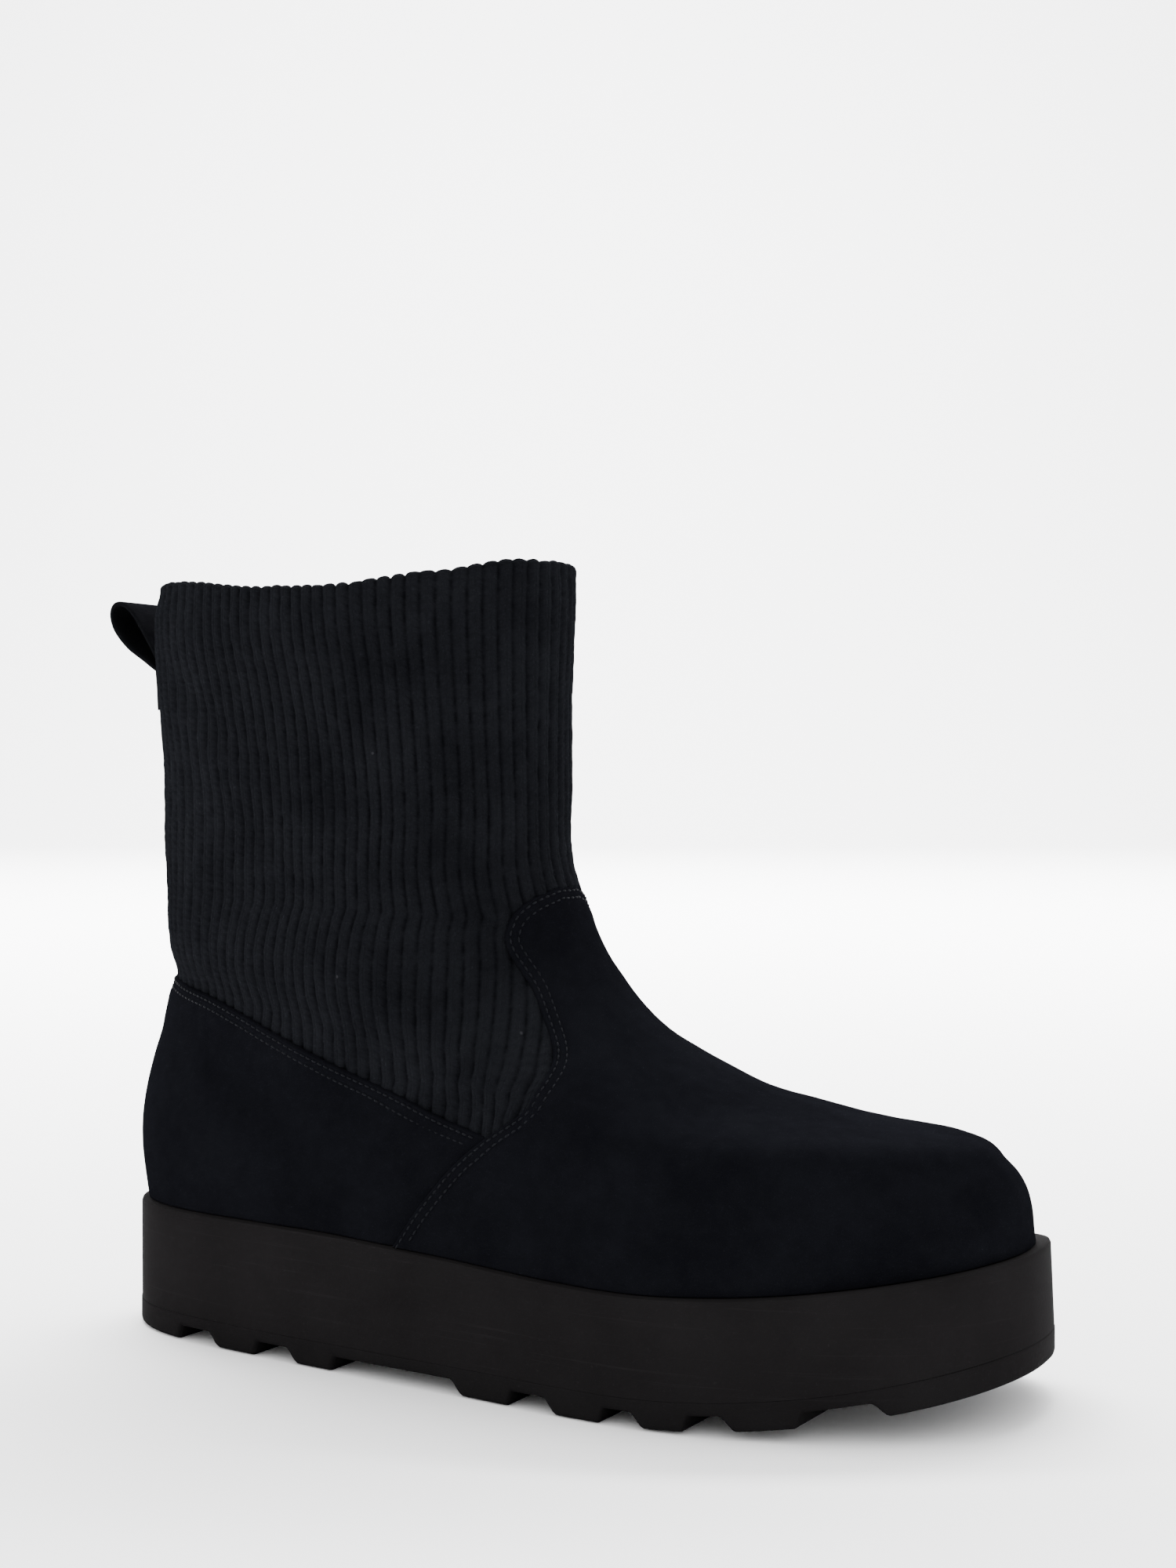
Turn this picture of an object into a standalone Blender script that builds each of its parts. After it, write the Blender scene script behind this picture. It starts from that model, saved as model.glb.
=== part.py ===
"""Knit and suede pull-on boot on a flatform sole, right foot, metres, +Z up.

+X points to the toe and -Y to the outer side of the foot.  The floor is z = 0 and the
origin lies under the heel, in the middle of the second lug.  The upper is a loft of
closed rings.  Each ring runs from a point on the back line to a point on the front
line of the boot, so the low rings lie flat on the sole, the middle ones climb the
instep, and the high ones go round the shaft.
"""
import math

import bmesh
import bpy
import numpy as np

# Driving sizes
SOLE_LENGTH = 0.270
BALL_WIDTH = 0.0966
HEEL_THICKNESS = 0.0365
FOREFOOT_THICKNESS = 0.0320
TOE_SPRING = 0.0120
SHAFT_RISE = 0.180
OUTSOLE_THICKNESS = 0.0073
LUG_DEPTH = 0.0038
LUG_RAMP_BACK = 0.0045
LUG_RAMP_FRONT = 0.0018
EDGE_ROUND = 0.0012
TOE_FLARE = 0.0010
JOINT_RIB = 0.0003
WALL = 0.0030
SUEDE = 0.0015
INSOLE_THICKNESS = 0.0040
INSOLE_CLEARANCE = 0.0012
GAP = 0.0003
SUEDE_GAP = 0.0008
TAPE_WIDTH = 0.0200
TAPE_THICKNESS = 0.0014
TAPE_STITCHED = 0.0120
LOOP_LENGTH = 0.0250
LOOP_OPENING = 0.0088
LOOP_LEAN = math.radians(37.0)
LOOP_BELOW_COLLAR = 0.0225

# Lugs from heel to toe: where each tread face starts and ends, as shares of the sole
LUGS = (
    (0.000, 0.116),
    (0.180, 0.228),
    (0.290, 0.333),
    (0.500, 0.552),
    (0.610, 0.655),
    (0.703, 0.739),
    (0.789, 0.839),
    (0.915, 1.000),
)
HEEL_LUG = 1

# Where the bottom starts to lift, and where the slab changes from heel to forefoot
SPRING_START = 0.66
SPRING_ON_TOP = 0.80
THINNING_START = 0.28
THINNING_END = 0.70

# Half widths at four places along a ring, as shares of the ball width
WIDTH_PLACES = (0.10, 0.45, 0.74, 1.00)
TOE_TURN_START = 0.35
TOE_TURN_IN = 0.128
SOLE_OUTER = (0.374, 0.445, 0.521, 0.370)
SOLE_INNER = (0.362, 0.373, 0.478, 0.495)
SOLE_BACK_ROUND = 6.5
SOLE_FRONT_ROUND = 9.3

# Rings of the upper.  x is a share of the sole length, z a share of the shaft's rise
# above the sole top, round is the exponent of the ring's end, drape is how far the ring
# follows the curved sole top, and dip lowers the outer and inner sides of the ring.
RING_COLUMNS = ("back_x", "back_z", "front_x", "front_z", "back_round", "front_round", "drape", "dip")
RINGS = (
    (0.0145, 0.000, 0.979, 0.000, 6.3, 7.6, 1.0, 0.000),
    (0.0055, 0.053, 0.977, 0.058, 5.4, 6.4, 0.9, 0.000),
    (-0.0010, 0.103, 0.971, 0.094, 4.6, 5.2, 0.7, 0.000),
    (0.0000, 0.158, 0.960, 0.119, 4.0, 4.4, 0.5, 0.000),
    (0.0085, 0.214, 0.939, 0.149, 3.5, 4.2, 0.3, 0.000),
    (0.022, 0.269, 0.873, 0.172, 3.1, 3.0, 0.1, 0.000),
    (0.031, 0.319, 0.784, 0.206, 2.8, 2.5, 0.0, 0.000),
    (0.041, 0.364, 0.702, 0.251, 2.6, 2.3, 0.0, 0.000),
    (0.037, 0.408, 0.617, 0.316, 2.5, 2.2, 0.0, 0.000),
    (0.033, 0.458, 0.557, 0.404, 2.4, 2.1, 0.0, 0.000),
    (0.029, 0.519, 0.527, 0.483, 2.3, 2.1, 0.0, 0.000),
    (0.027, 0.586, 0.509, 0.561, 2.2, 2.1, 0.0, 0.000),
    (0.027, 0.686, 0.508, 0.672, 2.2, 2.1, 0.0, 0.006),
    (0.022, 0.797, 0.509, 0.800, 2.2, 2.1, 0.0, 0.014),
    (0.017, 0.903, 0.512, 0.923, 2.2, 2.1, 0.0, 0.028),
    (0.0165, 0.985, 0.514, 1.015, 2.2, 2.1, 0.0, 0.039),
)

# Half widths of the same rings: heel, waist, ball and toe of the outer, then inner side
RING_WIDTHS = (
    (0.335, 0.400, 0.466, 0.313, 0.323, 0.333, 0.424, 0.421),
    (0.342, 0.400, 0.468, 0.307, 0.328, 0.333, 0.427, 0.406),
    (0.342, 0.395, 0.466, 0.292, 0.328, 0.328, 0.424, 0.370),
    (0.337, 0.385, 0.458, 0.282, 0.323, 0.323, 0.416, 0.333),
    (0.331, 0.370, 0.442, 0.275, 0.318, 0.318, 0.401, 0.305),
    (0.328, 0.357, 0.428, 0.305, 0.318, 0.317, 0.397, 0.318),
    (0.328, 0.354, 0.414, 0.340, 0.319, 0.322, 0.394, 0.340),
    (0.332, 0.356, 0.400, 0.352, 0.324, 0.333, 0.386, 0.352),
    (0.342, 0.364, 0.386, 0.358, 0.335, 0.348, 0.379, 0.358),
    (0.355, 0.376, 0.382, 0.364, 0.350, 0.366, 0.379, 0.364),
    (0.367, 0.388, 0.387, 0.378, 0.364, 0.381, 0.386, 0.378),
    (0.378, 0.399, 0.399, 0.393, 0.378, 0.399, 0.399, 0.393),
    (0.388, 0.409, 0.409, 0.404, 0.388, 0.409, 0.409, 0.404),
    (0.399, 0.414, 0.414, 0.404, 0.399, 0.414, 0.414, 0.404),
    (0.404, 0.419, 0.419, 0.409, 0.404, 0.419, 0.419, 0.409),
    (0.404, 0.419, 0.419, 0.409, 0.404, 0.419, 0.419, 0.409),
)
TOP_RING = len(RINGS) - 1

# Suede edges, drawn on the rings: ring number and angle from the back, in radians
VAMP_EDGE = (
    (0.00, 1.394),
    (1.70, 1.512),
    (3.10, 1.612),
    (4.20, 1.720),
    (5.50, 1.920),
    (6.80, 2.160),
    (7.90, 2.425),
    (8.60, 2.530),
    (9.80, 2.580),
    (10.20, 2.700),
    (10.45, 2.860),
    (10.60, 3.030),
)
COUNTER_TOP = (
    (6.88, 0.00),
    (6.88, 0.55),
    (6.73, 0.90),
    (6.45, 1.04),
    (6.12, 1.14),
    (5.45, 1.30),
    (4.85, 1.42),
    (4.10, 1.54),
    (3.80, 1.62),
)
COUNTER_END = 1.625
SEAM_GAP = 0.007

# How finely the surfaces are divided; the rows are levels between the rings
FOOT_ROWS = (0.0, 0.5, 1.0, 1.6, 2.2, 2.8, 3.4, 4.0, 4.6, 5.3, 6.1, 7.0, 8.0, 9.0, 9.8, 10.2, 10.45, 10.6)
SHAFT_ROWS = (11.6, 12.7, 13.8, 15.0)
UPPER_COLUMNS = 60
VAMP_COLUMNS = 38
COUNTER_COLUMNS = 30
COUNTER_ROWS = 9
LIP_STEPS = 4
SOLE_STATIONS = 34
TAPE_STEPS = 28
TAPE_COLUMNS = 5

ORIGIN_X = SOLE_LENGTH * (LUGS[HEEL_LUG][0] + LUGS[HEEL_LUG][1]) / 2


def smooth(value):
    """Ease from 0 to 1, flat at both ends."""
    value = np.clip(value, 0.0, 1.0)
    return value * value * (3.0 - 2.0 * value)


def through(share, places, values, flat_start=True):
    """Smooth curve through a few values, leaving the first one level or with its own slope."""
    places = np.asarray(places, float)
    values = np.asarray(values, float)
    slopes = np.gradient(values, places)
    if flat_start:
        slopes[0] = 0.0
    share = np.clip(share, places[0], places[-1])
    index = np.clip(np.searchsorted(places, share, side="right") - 1, 0, len(places) - 2)
    step = places[index + 1] - places[index]
    part = (share - places[index]) / step
    return (
        (2 * part**3 - 3 * part**2 + 1) * values[index]
        + (part**3 - 2 * part**2 + part) * step * slopes[index]
        + (3 * part**2 - 2 * part**3) * values[index + 1]
        + (part**3 - part**2) * step * slopes[index + 1]
    )


def spring(x):
    """Lift of the sole's bottom towards the toe."""
    start = SPRING_START * SOLE_LENGTH
    rise = np.clip((x - start) / (SOLE_LENGTH - start), 0.0, None)
    return TOE_SPRING * rise**2


def sole_top(x):
    """Height of the shelf that the upper stands on."""
    change = smooth((x / SOLE_LENGTH - THINNING_START) / (THINNING_END - THINNING_START))
    return HEEL_THICKNESS + (FOREFOOT_THICKNESS - HEEL_THICKNESS) * change + SPRING_ON_TOP * spring(x)


def middle_line(x):
    """Sideways turn of the foot's middle line towards the big toe."""
    turn = np.clip((x / SOLE_LENGTH - TOE_TURN_START) / (1.0 - TOE_TURN_START), 0.0, 1.0)
    return TOE_TURN_IN * BALL_WIDTH * turn**2


def sole_outline(angle, inset):
    """Outline of the sole seen from above; inset moves it in along its normal."""

    def raw(a):
        q = -np.cos(a)
        share = (1.0 + q) / 2.0
        outer = np.sin(a) >= 0.0
        width = np.where(
            outer,
            through(share, WIDTH_PLACES, SOLE_OUTER),
            through(share, WIDTH_PLACES, SOLE_INNER),
        )
        power = np.where(q < 0.0, SOLE_BACK_ROUND, SOLE_FRONT_ROUND)
        end = np.sqrt(np.clip(1.0 - np.abs(q) ** power, 0.0, None))
        x = SOLE_LENGTH * share
        y = middle_line(x) - np.where(outer, 1.0, -1.0) * width * BALL_WIDTH * end
        return np.stack([x, y], axis=-1)

    step = 1e-4
    along = raw(angle + step) - raw(angle - step)
    along /= np.linalg.norm(along, axis=-1, keepdims=True)
    inward = np.stack([-along[..., 1], along[..., 0]], axis=-1)
    return raw(angle) + inward * np.asarray(inset)[..., None]


def ring_values(level):
    """Table values between the rings, by a smooth curve through the rows."""
    table = np.hstack([np.array(RINGS), np.array(RING_WIDTHS)])
    padded = np.vstack([2 * table[0] - table[1], table, 2 * table[-1] - table[-2]])
    index = np.clip(np.floor(level).astype(int), 0, TOP_RING - 1)
    part = (level - index)[..., None]
    before, here, after, beyond = (padded[index + k] for k in range(4))
    return 0.5 * (
        2 * here
        + (after - before) * part
        + (2 * before - 5 * here + 4 * after - beyond) * part**2
        + (3 * here - before - 3 * after + beyond) * part**3
    )


def between_places(share, values):
    """The smooth curve of through(), for a table of values that differs from point to point."""
    places = np.asarray(WIDTH_PLACES)
    slopes = np.gradient(values, places, axis=-1)
    slopes[..., 0] = 0.0
    share = np.clip(share, places[0], places[-1])
    index = np.clip(np.searchsorted(places, share, side="right") - 1, 0, len(places) - 2)
    step = places[index + 1] - places[index]
    part = (share - places[index]) / step

    def pick(array, k):
        return np.take_along_axis(array, (index + k)[..., None], axis=-1)[..., 0]

    return (
        (2 * part**3 - 3 * part**2 + 1) * pick(values, 0)
        + (part**3 - 2 * part**2 + part) * step * pick(slopes, 0)
        + (3 * part**2 - 2 * part**3) * pick(values, 1)
        + (part**3 - part**2) * step * pick(slopes, 1)
    )


def form_point(level, angle):
    """Point of the wall's outer face; level counts rings, angle starts at the back.

    Along a ring x runs from back to front as a cosine, and y is the half width times
    the end's superellipse, so the ring closes round at the back and the front.
    """
    level, angle = np.broadcast_arrays(np.asarray(level, float), np.asarray(angle, float))
    values = ring_values(level)
    column = {name: values[..., k] for k, name in enumerate(RING_COLUMNS)}
    widths = values[..., len(RING_COLUMNS):]
    q = -np.cos(angle)
    share = (1.0 + q) / 2.0
    outer = np.sin(angle) >= 0.0
    half = np.where(outer, between_places(share, widths[..., :4]), between_places(share, widths[..., 4:]))
    power = np.where(q < 0.0, column["back_round"], column["front_round"])
    end = np.sqrt(np.clip(1.0 - np.abs(q) ** power, 0.0, None))
    back = column["back_x"] * SOLE_LENGTH
    front = column["front_x"] * SOLE_LENGTH
    x = back + (front - back) * share
    y = middle_line(x) - np.where(outer, 1.0, -1.0) * half * BALL_WIDTH * end
    sole_line = sole_top(back) + (sole_top(front) - sole_top(back)) * share
    rise = column["back_z"] + (column["front_z"] - column["back_z"]) * share
    dip = column["dip"] * np.sin(np.pi * share**1.3) ** 2
    z = GAP + sole_line + column["drape"] * (sole_top(x) - sole_line) + (rise - dip) * SHAFT_RISE
    return np.stack([x, y, z], axis=-1)


def form_normal(level, angle):
    """Unit normal of the wall's outer face, pointing out."""
    level, angle = np.broadcast_arrays(np.asarray(level, float), np.asarray(angle, float))
    step = 1e-3
    around = form_point(level, angle + step) - form_point(level, angle - step)
    low = np.clip(level - step, 0.0, TOP_RING)
    high = np.clip(level + step, 0.0, TOP_RING)
    upward = form_point(high, angle) - form_point(low, angle)
    normal = np.cross(around, upward)
    return normal / np.linalg.norm(normal, axis=-1, keepdims=True)


def skin_point(level, angle, offset):
    """Point at a distance from the wall's outer face; the lowest ring stays on the sole."""
    level, angle = np.broadcast_arrays(np.asarray(level, float), np.asarray(angle, float))
    point = form_point(level, angle) + form_normal(level, angle) * offset
    floor = sole_top(point[..., 0]) + GAP
    point[..., 2] = np.where(level <= 0.0, floor, np.maximum(point[..., 2], floor))
    return point


def spaced_angles(start, end, count):
    """Angles from start to end, closer together at the toe and the heel."""
    fine = np.linspace(start, end, 2001)
    density = (
        1.0
        + 1.3 * np.exp(-(((fine - math.pi) / 0.55) ** 2))
        + 0.5 * np.exp(-((np.sin(fine / 2.0) / 0.25) ** 2))
    )
    total = np.concatenate([[0.0], np.cumsum((density[1:] + density[:-1]) / 2.0)])
    return np.interp(np.linspace(0.0, total[-1], count), total, fine)


def world(points):
    """Move points from the heel's back corner to the origin under the heel."""
    return np.asarray(points) - np.array([ORIGIN_X, 0.0, 0.0])


def material(name, colour, roughness):
    """Plain Principled material."""
    made = bpy.data.materials.new(name)
    made.use_nodes = True
    shader = made.node_tree.nodes["Principled BSDF"]
    shader.inputs["Base Color"].default_value = (*colour, 1.0)
    shader.inputs["Roughness"].default_value = roughness
    shader.inputs["Metallic"].default_value = 0.0
    return made


def add_object(name, points, faces, finish, sharp=40.0):
    """Object from points and faces, with its faces turned outward and shaded smooth."""
    mesh = bpy.data.meshes.new(name)
    mesh.from_pydata([tuple(map(float, point)) for point in world(points)], [], faces)
    work = bmesh.new()
    work.from_mesh(mesh)
    bmesh.ops.recalc_face_normals(work, faces=work.faces)
    if work.calc_volume(signed=True) < 0.0:
        bmesh.ops.reverse_faces(work, faces=work.faces)
    bmesh.ops.triangulate(work, faces=work.faces)
    work.to_mesh(mesh)
    work.free()
    mesh.shade_smooth()
    mesh.set_sharp_from_angle(angle=math.radians(sharp))
    mesh.materials.append(finish)
    made = bpy.data.objects.new(name, mesh)
    bpy.context.scene.collection.objects.link(made)
    return made


def tube_solid(name, rings, finish):
    """Closed solid from rings of equal length, the last joined to the first."""
    count, around = rings.shape[0], rings.shape[1]
    faces = []
    for i in range(count):
        for j in range(around):
            here, there = i * around, ((i + 1) % count) * around
            faces.append((here + j, here + (j + 1) % around, there + (j + 1) % around, there + j))
    return add_object(name, rings.reshape(-1, 3), faces, finish)


def patch_solid(name, outer, inner, finish):
    """Closed solid between two equal grids of points, with walls along its four edges."""
    rows, columns = outer.shape[:2]
    size = rows * columns
    faces = []
    for i in range(rows - 1):
        for j in range(columns - 1):
            a, b = i * columns + j, (i + 1) * columns + j
            faces.append((a, a + 1, b + 1, b))
            faces.append((size + a, size + b, size + b + 1, size + a + 1))
    border = [(0, j) for j in range(columns)]
    border += [(i, columns - 1) for i in range(1, rows)]
    border += [(rows - 1, j) for j in range(columns - 2, -1, -1)]
    border += [(i, 0) for i in range(rows - 2, 0, -1)]
    for (i, j), (k, m) in zip(border, border[1:] + border[:1]):
        a, b = i * columns + j, k * columns + m
        faces.append((a, size + a, size + b, b))
    points = np.concatenate([outer.reshape(-1, 3), inner.reshape(-1, 3)])
    return add_object(name, points, faces, finish)


def slab_solid(name, rings, finish):
    """Closed solid from outline rings, bottom to top, with caps ruled straight across."""
    count, around = rings.shape[0], rings.shape[1]
    half = around // 2
    faces = []
    for i in range(count - 1):
        for j in range(around):
            here, there = i * around, (i + 1) * around
            faces.append((here + j, here + (j + 1) % around, there + (j + 1) % around, there + j))
    for base in (0, (count - 1) * around):
        for j in range(half):
            corners = [base + j, base + j + 1, base + (around - j - 1) % around, base + (around - j) % around]
            faces.append(tuple(dict.fromkeys(corners)))
    return add_object(name, rings.reshape(-1, 3), faces, finish)


def both_sides(half_angles):
    """Angles of one side, mirrored to go all the way round."""
    return np.concatenate([half_angles, 2.0 * math.pi - half_angles[-2:0:-1]])


def raised_by_height(outline, height):
    """Outline points lifted to a height that depends on their x alone."""
    return np.column_stack([outline, height])


def flare_inset(x):
    """How far the top of the sole's side stands in from its bottom, growing to the toe."""
    return TOE_FLARE * smooth(x / SOLE_LENGTH)


def tread_profile():
    """Corners of the tread along the sole: x, and the height above the sprung bottom."""
    corners = []
    for start, end in LUGS:
        if start > 0.0:
            corners.append((start * SOLE_LENGTH - LUG_RAMP_BACK, LUG_DEPTH))
            corners.append((start * SOLE_LENGTH - LUG_RAMP_BACK / 3, LUG_DEPTH / 3))
            corners.append((start * SOLE_LENGTH, 0.0))
        if end < 1.0:
            corners.append((end * SOLE_LENGTH, 0.0))
            corners.append((end * SOLE_LENGTH + LUG_RAMP_FRONT, LUG_DEPTH))
    return np.array(corners)


def angle_at(x):
    """Angle at which the outline passes a distance from the heel's back."""
    return np.arccos(1.0 - 2.0 * np.asarray(x) / SOLE_LENGTH)


def build_outsole(finish):
    """Thin rubber layer: transverse lugs, smooth waist, and a fine rib at its top edge."""
    corners = tread_profile()
    fixed = angle_at(corners[:, 0])
    even = spaced_angles(0.0, math.pi, SOLE_STATIONS)
    spacing = math.pi / SOLE_STATIONS / 3
    free = [a for a in even if np.min(np.abs(fixed - a)) > spacing]
    angles = both_sides(np.sort(np.concatenate([fixed, free])))
    mirrored = np.where(angles > math.pi, 2.0 * math.pi - angles, angles)
    x_station = SOLE_LENGTH * (1.0 - np.cos(mirrored)) / 2.0
    relief = np.interp(x_station, corners[:, 0], corners[:, 1], left=0.0, right=0.0)
    bottom = spring(x_station) + relief
    top = spring(x_station) + OUTSOLE_THICKNESS
    zero = np.zeros_like(angles)
    rings = np.stack([
        raised_by_height(sole_outline(angles, zero + EDGE_ROUND), bottom),
        raised_by_height(sole_outline(angles, zero), bottom + EDGE_ROUND),
        raised_by_height(sole_outline(angles, zero), top),
    ])
    return slab_solid("outsole", rings, finish)


def build_midsole(finish):
    """Thick slab, standing in from the outsole's rib and in a little more at the toe's top."""
    angles = both_sides(spaced_angles(0.0, math.pi, SOLE_STATIONS))
    mirrored = np.where(angles > math.pi, 2.0 * math.pi - angles, angles)
    x_station = SOLE_LENGTH * (1.0 - np.cos(mirrored)) / 2.0
    side = JOINT_RIB + flare_inset(x_station)
    foot = sole_outline(angles, np.full_like(angles, JOINT_RIB))
    edge = sole_outline(angles, side)
    shelf = sole_outline(angles, side + EDGE_ROUND / 2)
    rings = np.stack([
        raised_by_height(foot, spring(foot[:, 0]) + OUTSOLE_THICKNESS + GAP),
        raised_by_height(edge, sole_top(edge[:, 0]) - EDGE_ROUND / 2),
        raised_by_height(shelf, sole_top(shelf[:, 0])),
    ])
    return slab_solid("midsole", rings, finish)


def build_insole(finish):
    """Footbed lying on the midsole, just clear of the wall's inner face."""
    angles = both_sides(spaced_angles(0.0, math.pi, SOLE_STATIONS))
    ring = skin_point(0.0, angles, -(WALL + INSOLE_CLEARANCE))[:, :2]
    low = sole_top(ring[:, 0]) + GAP
    rings = np.stack([
        raised_by_height(ring, low),
        raised_by_height(ring, low + INSOLE_THICKNESS),
    ])
    return slab_solid("insole", rings, finish)


def build_upper(finish):
    """Hollow wall of knit and lining, open underneath and at the rolled collar."""
    angles = spaced_angles(0.0, 2.0 * math.pi, UPPER_COLUMNS + 1)[:-1]
    levels = FOOT_ROWS + SHAFT_ROWS
    outer = np.stack([skin_point(level, angles, 0.0) for level in levels])
    inner = np.stack([skin_point(level, angles, -WALL) for level in levels[::-1]])
    middle = skin_point(TOP_RING, angles, -WALL / 2)
    normal = form_normal(TOP_RING, angles)
    lip = []
    for k in range(1, LIP_STEPS):
        turn = math.pi * k / LIP_STEPS
        rise = np.array([0.0, 0.0, WALL / 2 * math.sin(turn)])
        lip.append(middle + normal * (WALL / 2 * math.cos(turn)) + rise)
    return tube_solid("upper", np.concatenate([outer, np.stack(lip), inner]), finish)


def vamp_angle(level):
    """Angle of the vamp's edge at a level of the rings."""
    return through(level, [row[0] for row in VAMP_EDGE], [row[1] for row in VAMP_EDGE], flat_start=False)


def build_vamp(finish):
    """Suede toe and instep, up to the tab on the ankle."""
    outer, inner = [], []
    for level in FOOT_ROWS:
        edge = vamp_angle(level)
        angles = spaced_angles(edge, 2.0 * math.pi - edge, VAMP_COLUMNS)
        outer.append(skin_point(level, angles, SUEDE_GAP + SUEDE))
        inner.append(skin_point(level, angles, SUEDE_GAP))
    return patch_solid("vamp", np.stack(outer), np.stack(inner), finish)


def build_counter(finish):
    """Suede heel piece, its front edges running along the vamp's edges."""
    angles = spaced_angles(-COUNTER_END, COUNTER_END, COUNTER_COLUMNS)
    side = np.abs(angles)
    upper_level = through(side, [row[1] for row in COUNTER_TOP], [row[0] for row in COUNTER_TOP])
    seam_levels = np.linspace(0.0, COUNTER_TOP[-1][0] + 1.0, 200)
    lower_level = np.interp(side + SEAM_GAP, vamp_angle(seam_levels), seam_levels, left=0.0)
    part = np.linspace(0.0, 1.0, COUNTER_ROWS)[:, None]
    levels = lower_level + (upper_level - lower_level) * part
    outer = skin_point(levels, angles[None, :], SUEDE_GAP + SUEDE)
    inner = skin_point(levels, angles[None, :], SUEDE_GAP)
    return patch_solid("counter", outer, inner, finish)


def back_face(y, z):
    """Where the wall's back lies, for points beside the back line at a height."""
    levels = np.linspace(TOP_RING - 6.0, TOP_RING, 61)
    heights = form_point(levels, 0.0)[:, 2]
    level = np.interp(z, heights, levels)
    angles = np.linspace(-0.6, 0.6, 121)
    x = np.empty_like(z)
    for k in range(len(z)):
        line = form_point(level[k], -angles)
        x[k] = np.interp(y[k], line[:, 1], line[:, 0])
    return x


def tape_path():
    """Middle of the tape as it runs up the back, round the loop and down again.

    Each point has a distance out from the wall's back, a height, and how much of the
    wall's roundness the tape takes on there.
    """
    inner = GAP + TAPE_THICKNESS / 2
    outer = inner + TAPE_THICKNESS + GAP
    collar = float(form_point(TOP_RING, 0.0)[2])
    root = collar - LOOP_BELOW_COLLAR
    foot = root - TAPE_STITCHED
    half = LOOP_OPENING / 2 + TAPE_THICKNESS / 2
    rows = [(inner, foot + TAPE_STITCHED * k / 4, 1.0) for k in range(4)]
    for k in range(TAPE_STEPS + 1):
        turn = 2.0 * math.pi * k / TAPE_STEPS
        along = LOOP_LENGTH * (1.0 - math.cos(turn)) / 2.0
        spread = half * math.sin(turn) * math.sin(turn / 2.0) ** 1.2
        leaf = outer - (outer - inner) * (1.0 + math.cos(turn / 2.0)) / 2.0
        out = leaf + along * math.sin(LOOP_LEAN) - spread * math.cos(LOOP_LEAN)
        height = root + along * math.cos(LOOP_LEAN) + spread * math.sin(LOOP_LEAN)
        rows.append((out, height, 1.0 - smooth(along / LOOP_LENGTH * 1.6)))
    rows += [(outer, foot + TAPE_STITCHED * k / 4, 1.0) for k in range(3, -1, -1)]
    return np.array(rows)


def build_pull_loop(finish):
    """Folded suede tape, stitched up the back of the shaft and standing out as a loop."""
    path = tape_path()
    along = np.gradient(path[:, :2], axis=0)
    along /= np.linalg.norm(along, axis=1, keepdims=True)
    across = np.column_stack([-along[:, 1], along[:, 0]])
    y = np.linspace(-TAPE_WIDTH / 2, TAPE_WIDTH / 2, TAPE_COLUMNS)
    faces_of_tape = []
    for sign in (1.0, -1.0):
        line = path[:, :2] + across * (sign * TAPE_THICKNESS / 2)
        grid = np.empty((len(path), TAPE_COLUMNS, 3))
        for j, side in enumerate(y):
            height = line[:, 1]
            round_x = back_face(np.full_like(height, side), height)
            flat_x = back_face(np.zeros_like(height), height)
            base = flat_x + (round_x - flat_x) * path[:, 2]
            grid[:, j] = np.column_stack([base - line[:, 0], np.full_like(height, side), height])
        faces_of_tape.append(grid)
    return patch_solid("pull_loop", faces_of_tape[0], faces_of_tape[1], finish)


def main():
    """Build the boot's pieces."""
    for old in list(bpy.data.objects):
        bpy.data.objects.remove(old)
    rubber = material("sole_rubber", (0.014, 0.0135, 0.014), 0.72)
    slab = material("midsole_foam", (0.014, 0.0135, 0.014), 0.75)
    knit = material("rib_knit", (0.008, 0.0085, 0.010), 0.95)
    suede = material("suede", (0.006, 0.0065, 0.008), 0.92)
    lining = material("footbed_cloth", (0.020, 0.020, 0.022), 0.90)
    build_outsole(rubber)
    build_midsole(slab)
    build_insole(lining)
    build_upper(knit)
    build_vamp(suede)
    build_counter(suede)
    build_pull_loop(suede)


main()
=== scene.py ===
"""Looks of the knit and suede pull-on boot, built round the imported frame, in metres.

+X points to the toe, -Y to the outer side of the foot, and z = 0 is the floor.  The
upper's form repeats the construction's loft of rings, with finer steps, ribs, rolled
suede edges, soft dents and stitches on top.
"""

import math

import bpy
import numpy as np
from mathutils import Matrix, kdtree

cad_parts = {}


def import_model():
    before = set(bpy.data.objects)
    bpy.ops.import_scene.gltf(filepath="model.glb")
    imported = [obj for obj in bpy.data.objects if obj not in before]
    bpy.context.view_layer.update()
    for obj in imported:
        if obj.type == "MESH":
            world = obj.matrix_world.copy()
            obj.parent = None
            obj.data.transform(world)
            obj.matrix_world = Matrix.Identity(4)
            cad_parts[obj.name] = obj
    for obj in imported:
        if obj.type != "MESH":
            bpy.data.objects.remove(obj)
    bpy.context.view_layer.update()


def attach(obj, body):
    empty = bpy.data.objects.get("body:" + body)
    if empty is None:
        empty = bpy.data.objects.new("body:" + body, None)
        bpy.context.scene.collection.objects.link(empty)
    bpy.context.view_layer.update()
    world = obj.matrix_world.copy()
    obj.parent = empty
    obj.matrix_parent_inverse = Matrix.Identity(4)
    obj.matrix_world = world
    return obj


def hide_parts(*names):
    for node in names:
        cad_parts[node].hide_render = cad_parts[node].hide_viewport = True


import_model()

# Sizes shared with the construction
SOLE_LENGTH = 0.270
BALL_WIDTH = 0.0966
HEEL_THICKNESS = 0.0365
FOREFOOT_THICKNESS = 0.0320
TOE_SPRING = 0.0120
SHAFT_RISE = 0.180
OUTSOLE_THICKNESS = 0.0073
LUG_DEPTH = 0.0038
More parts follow.
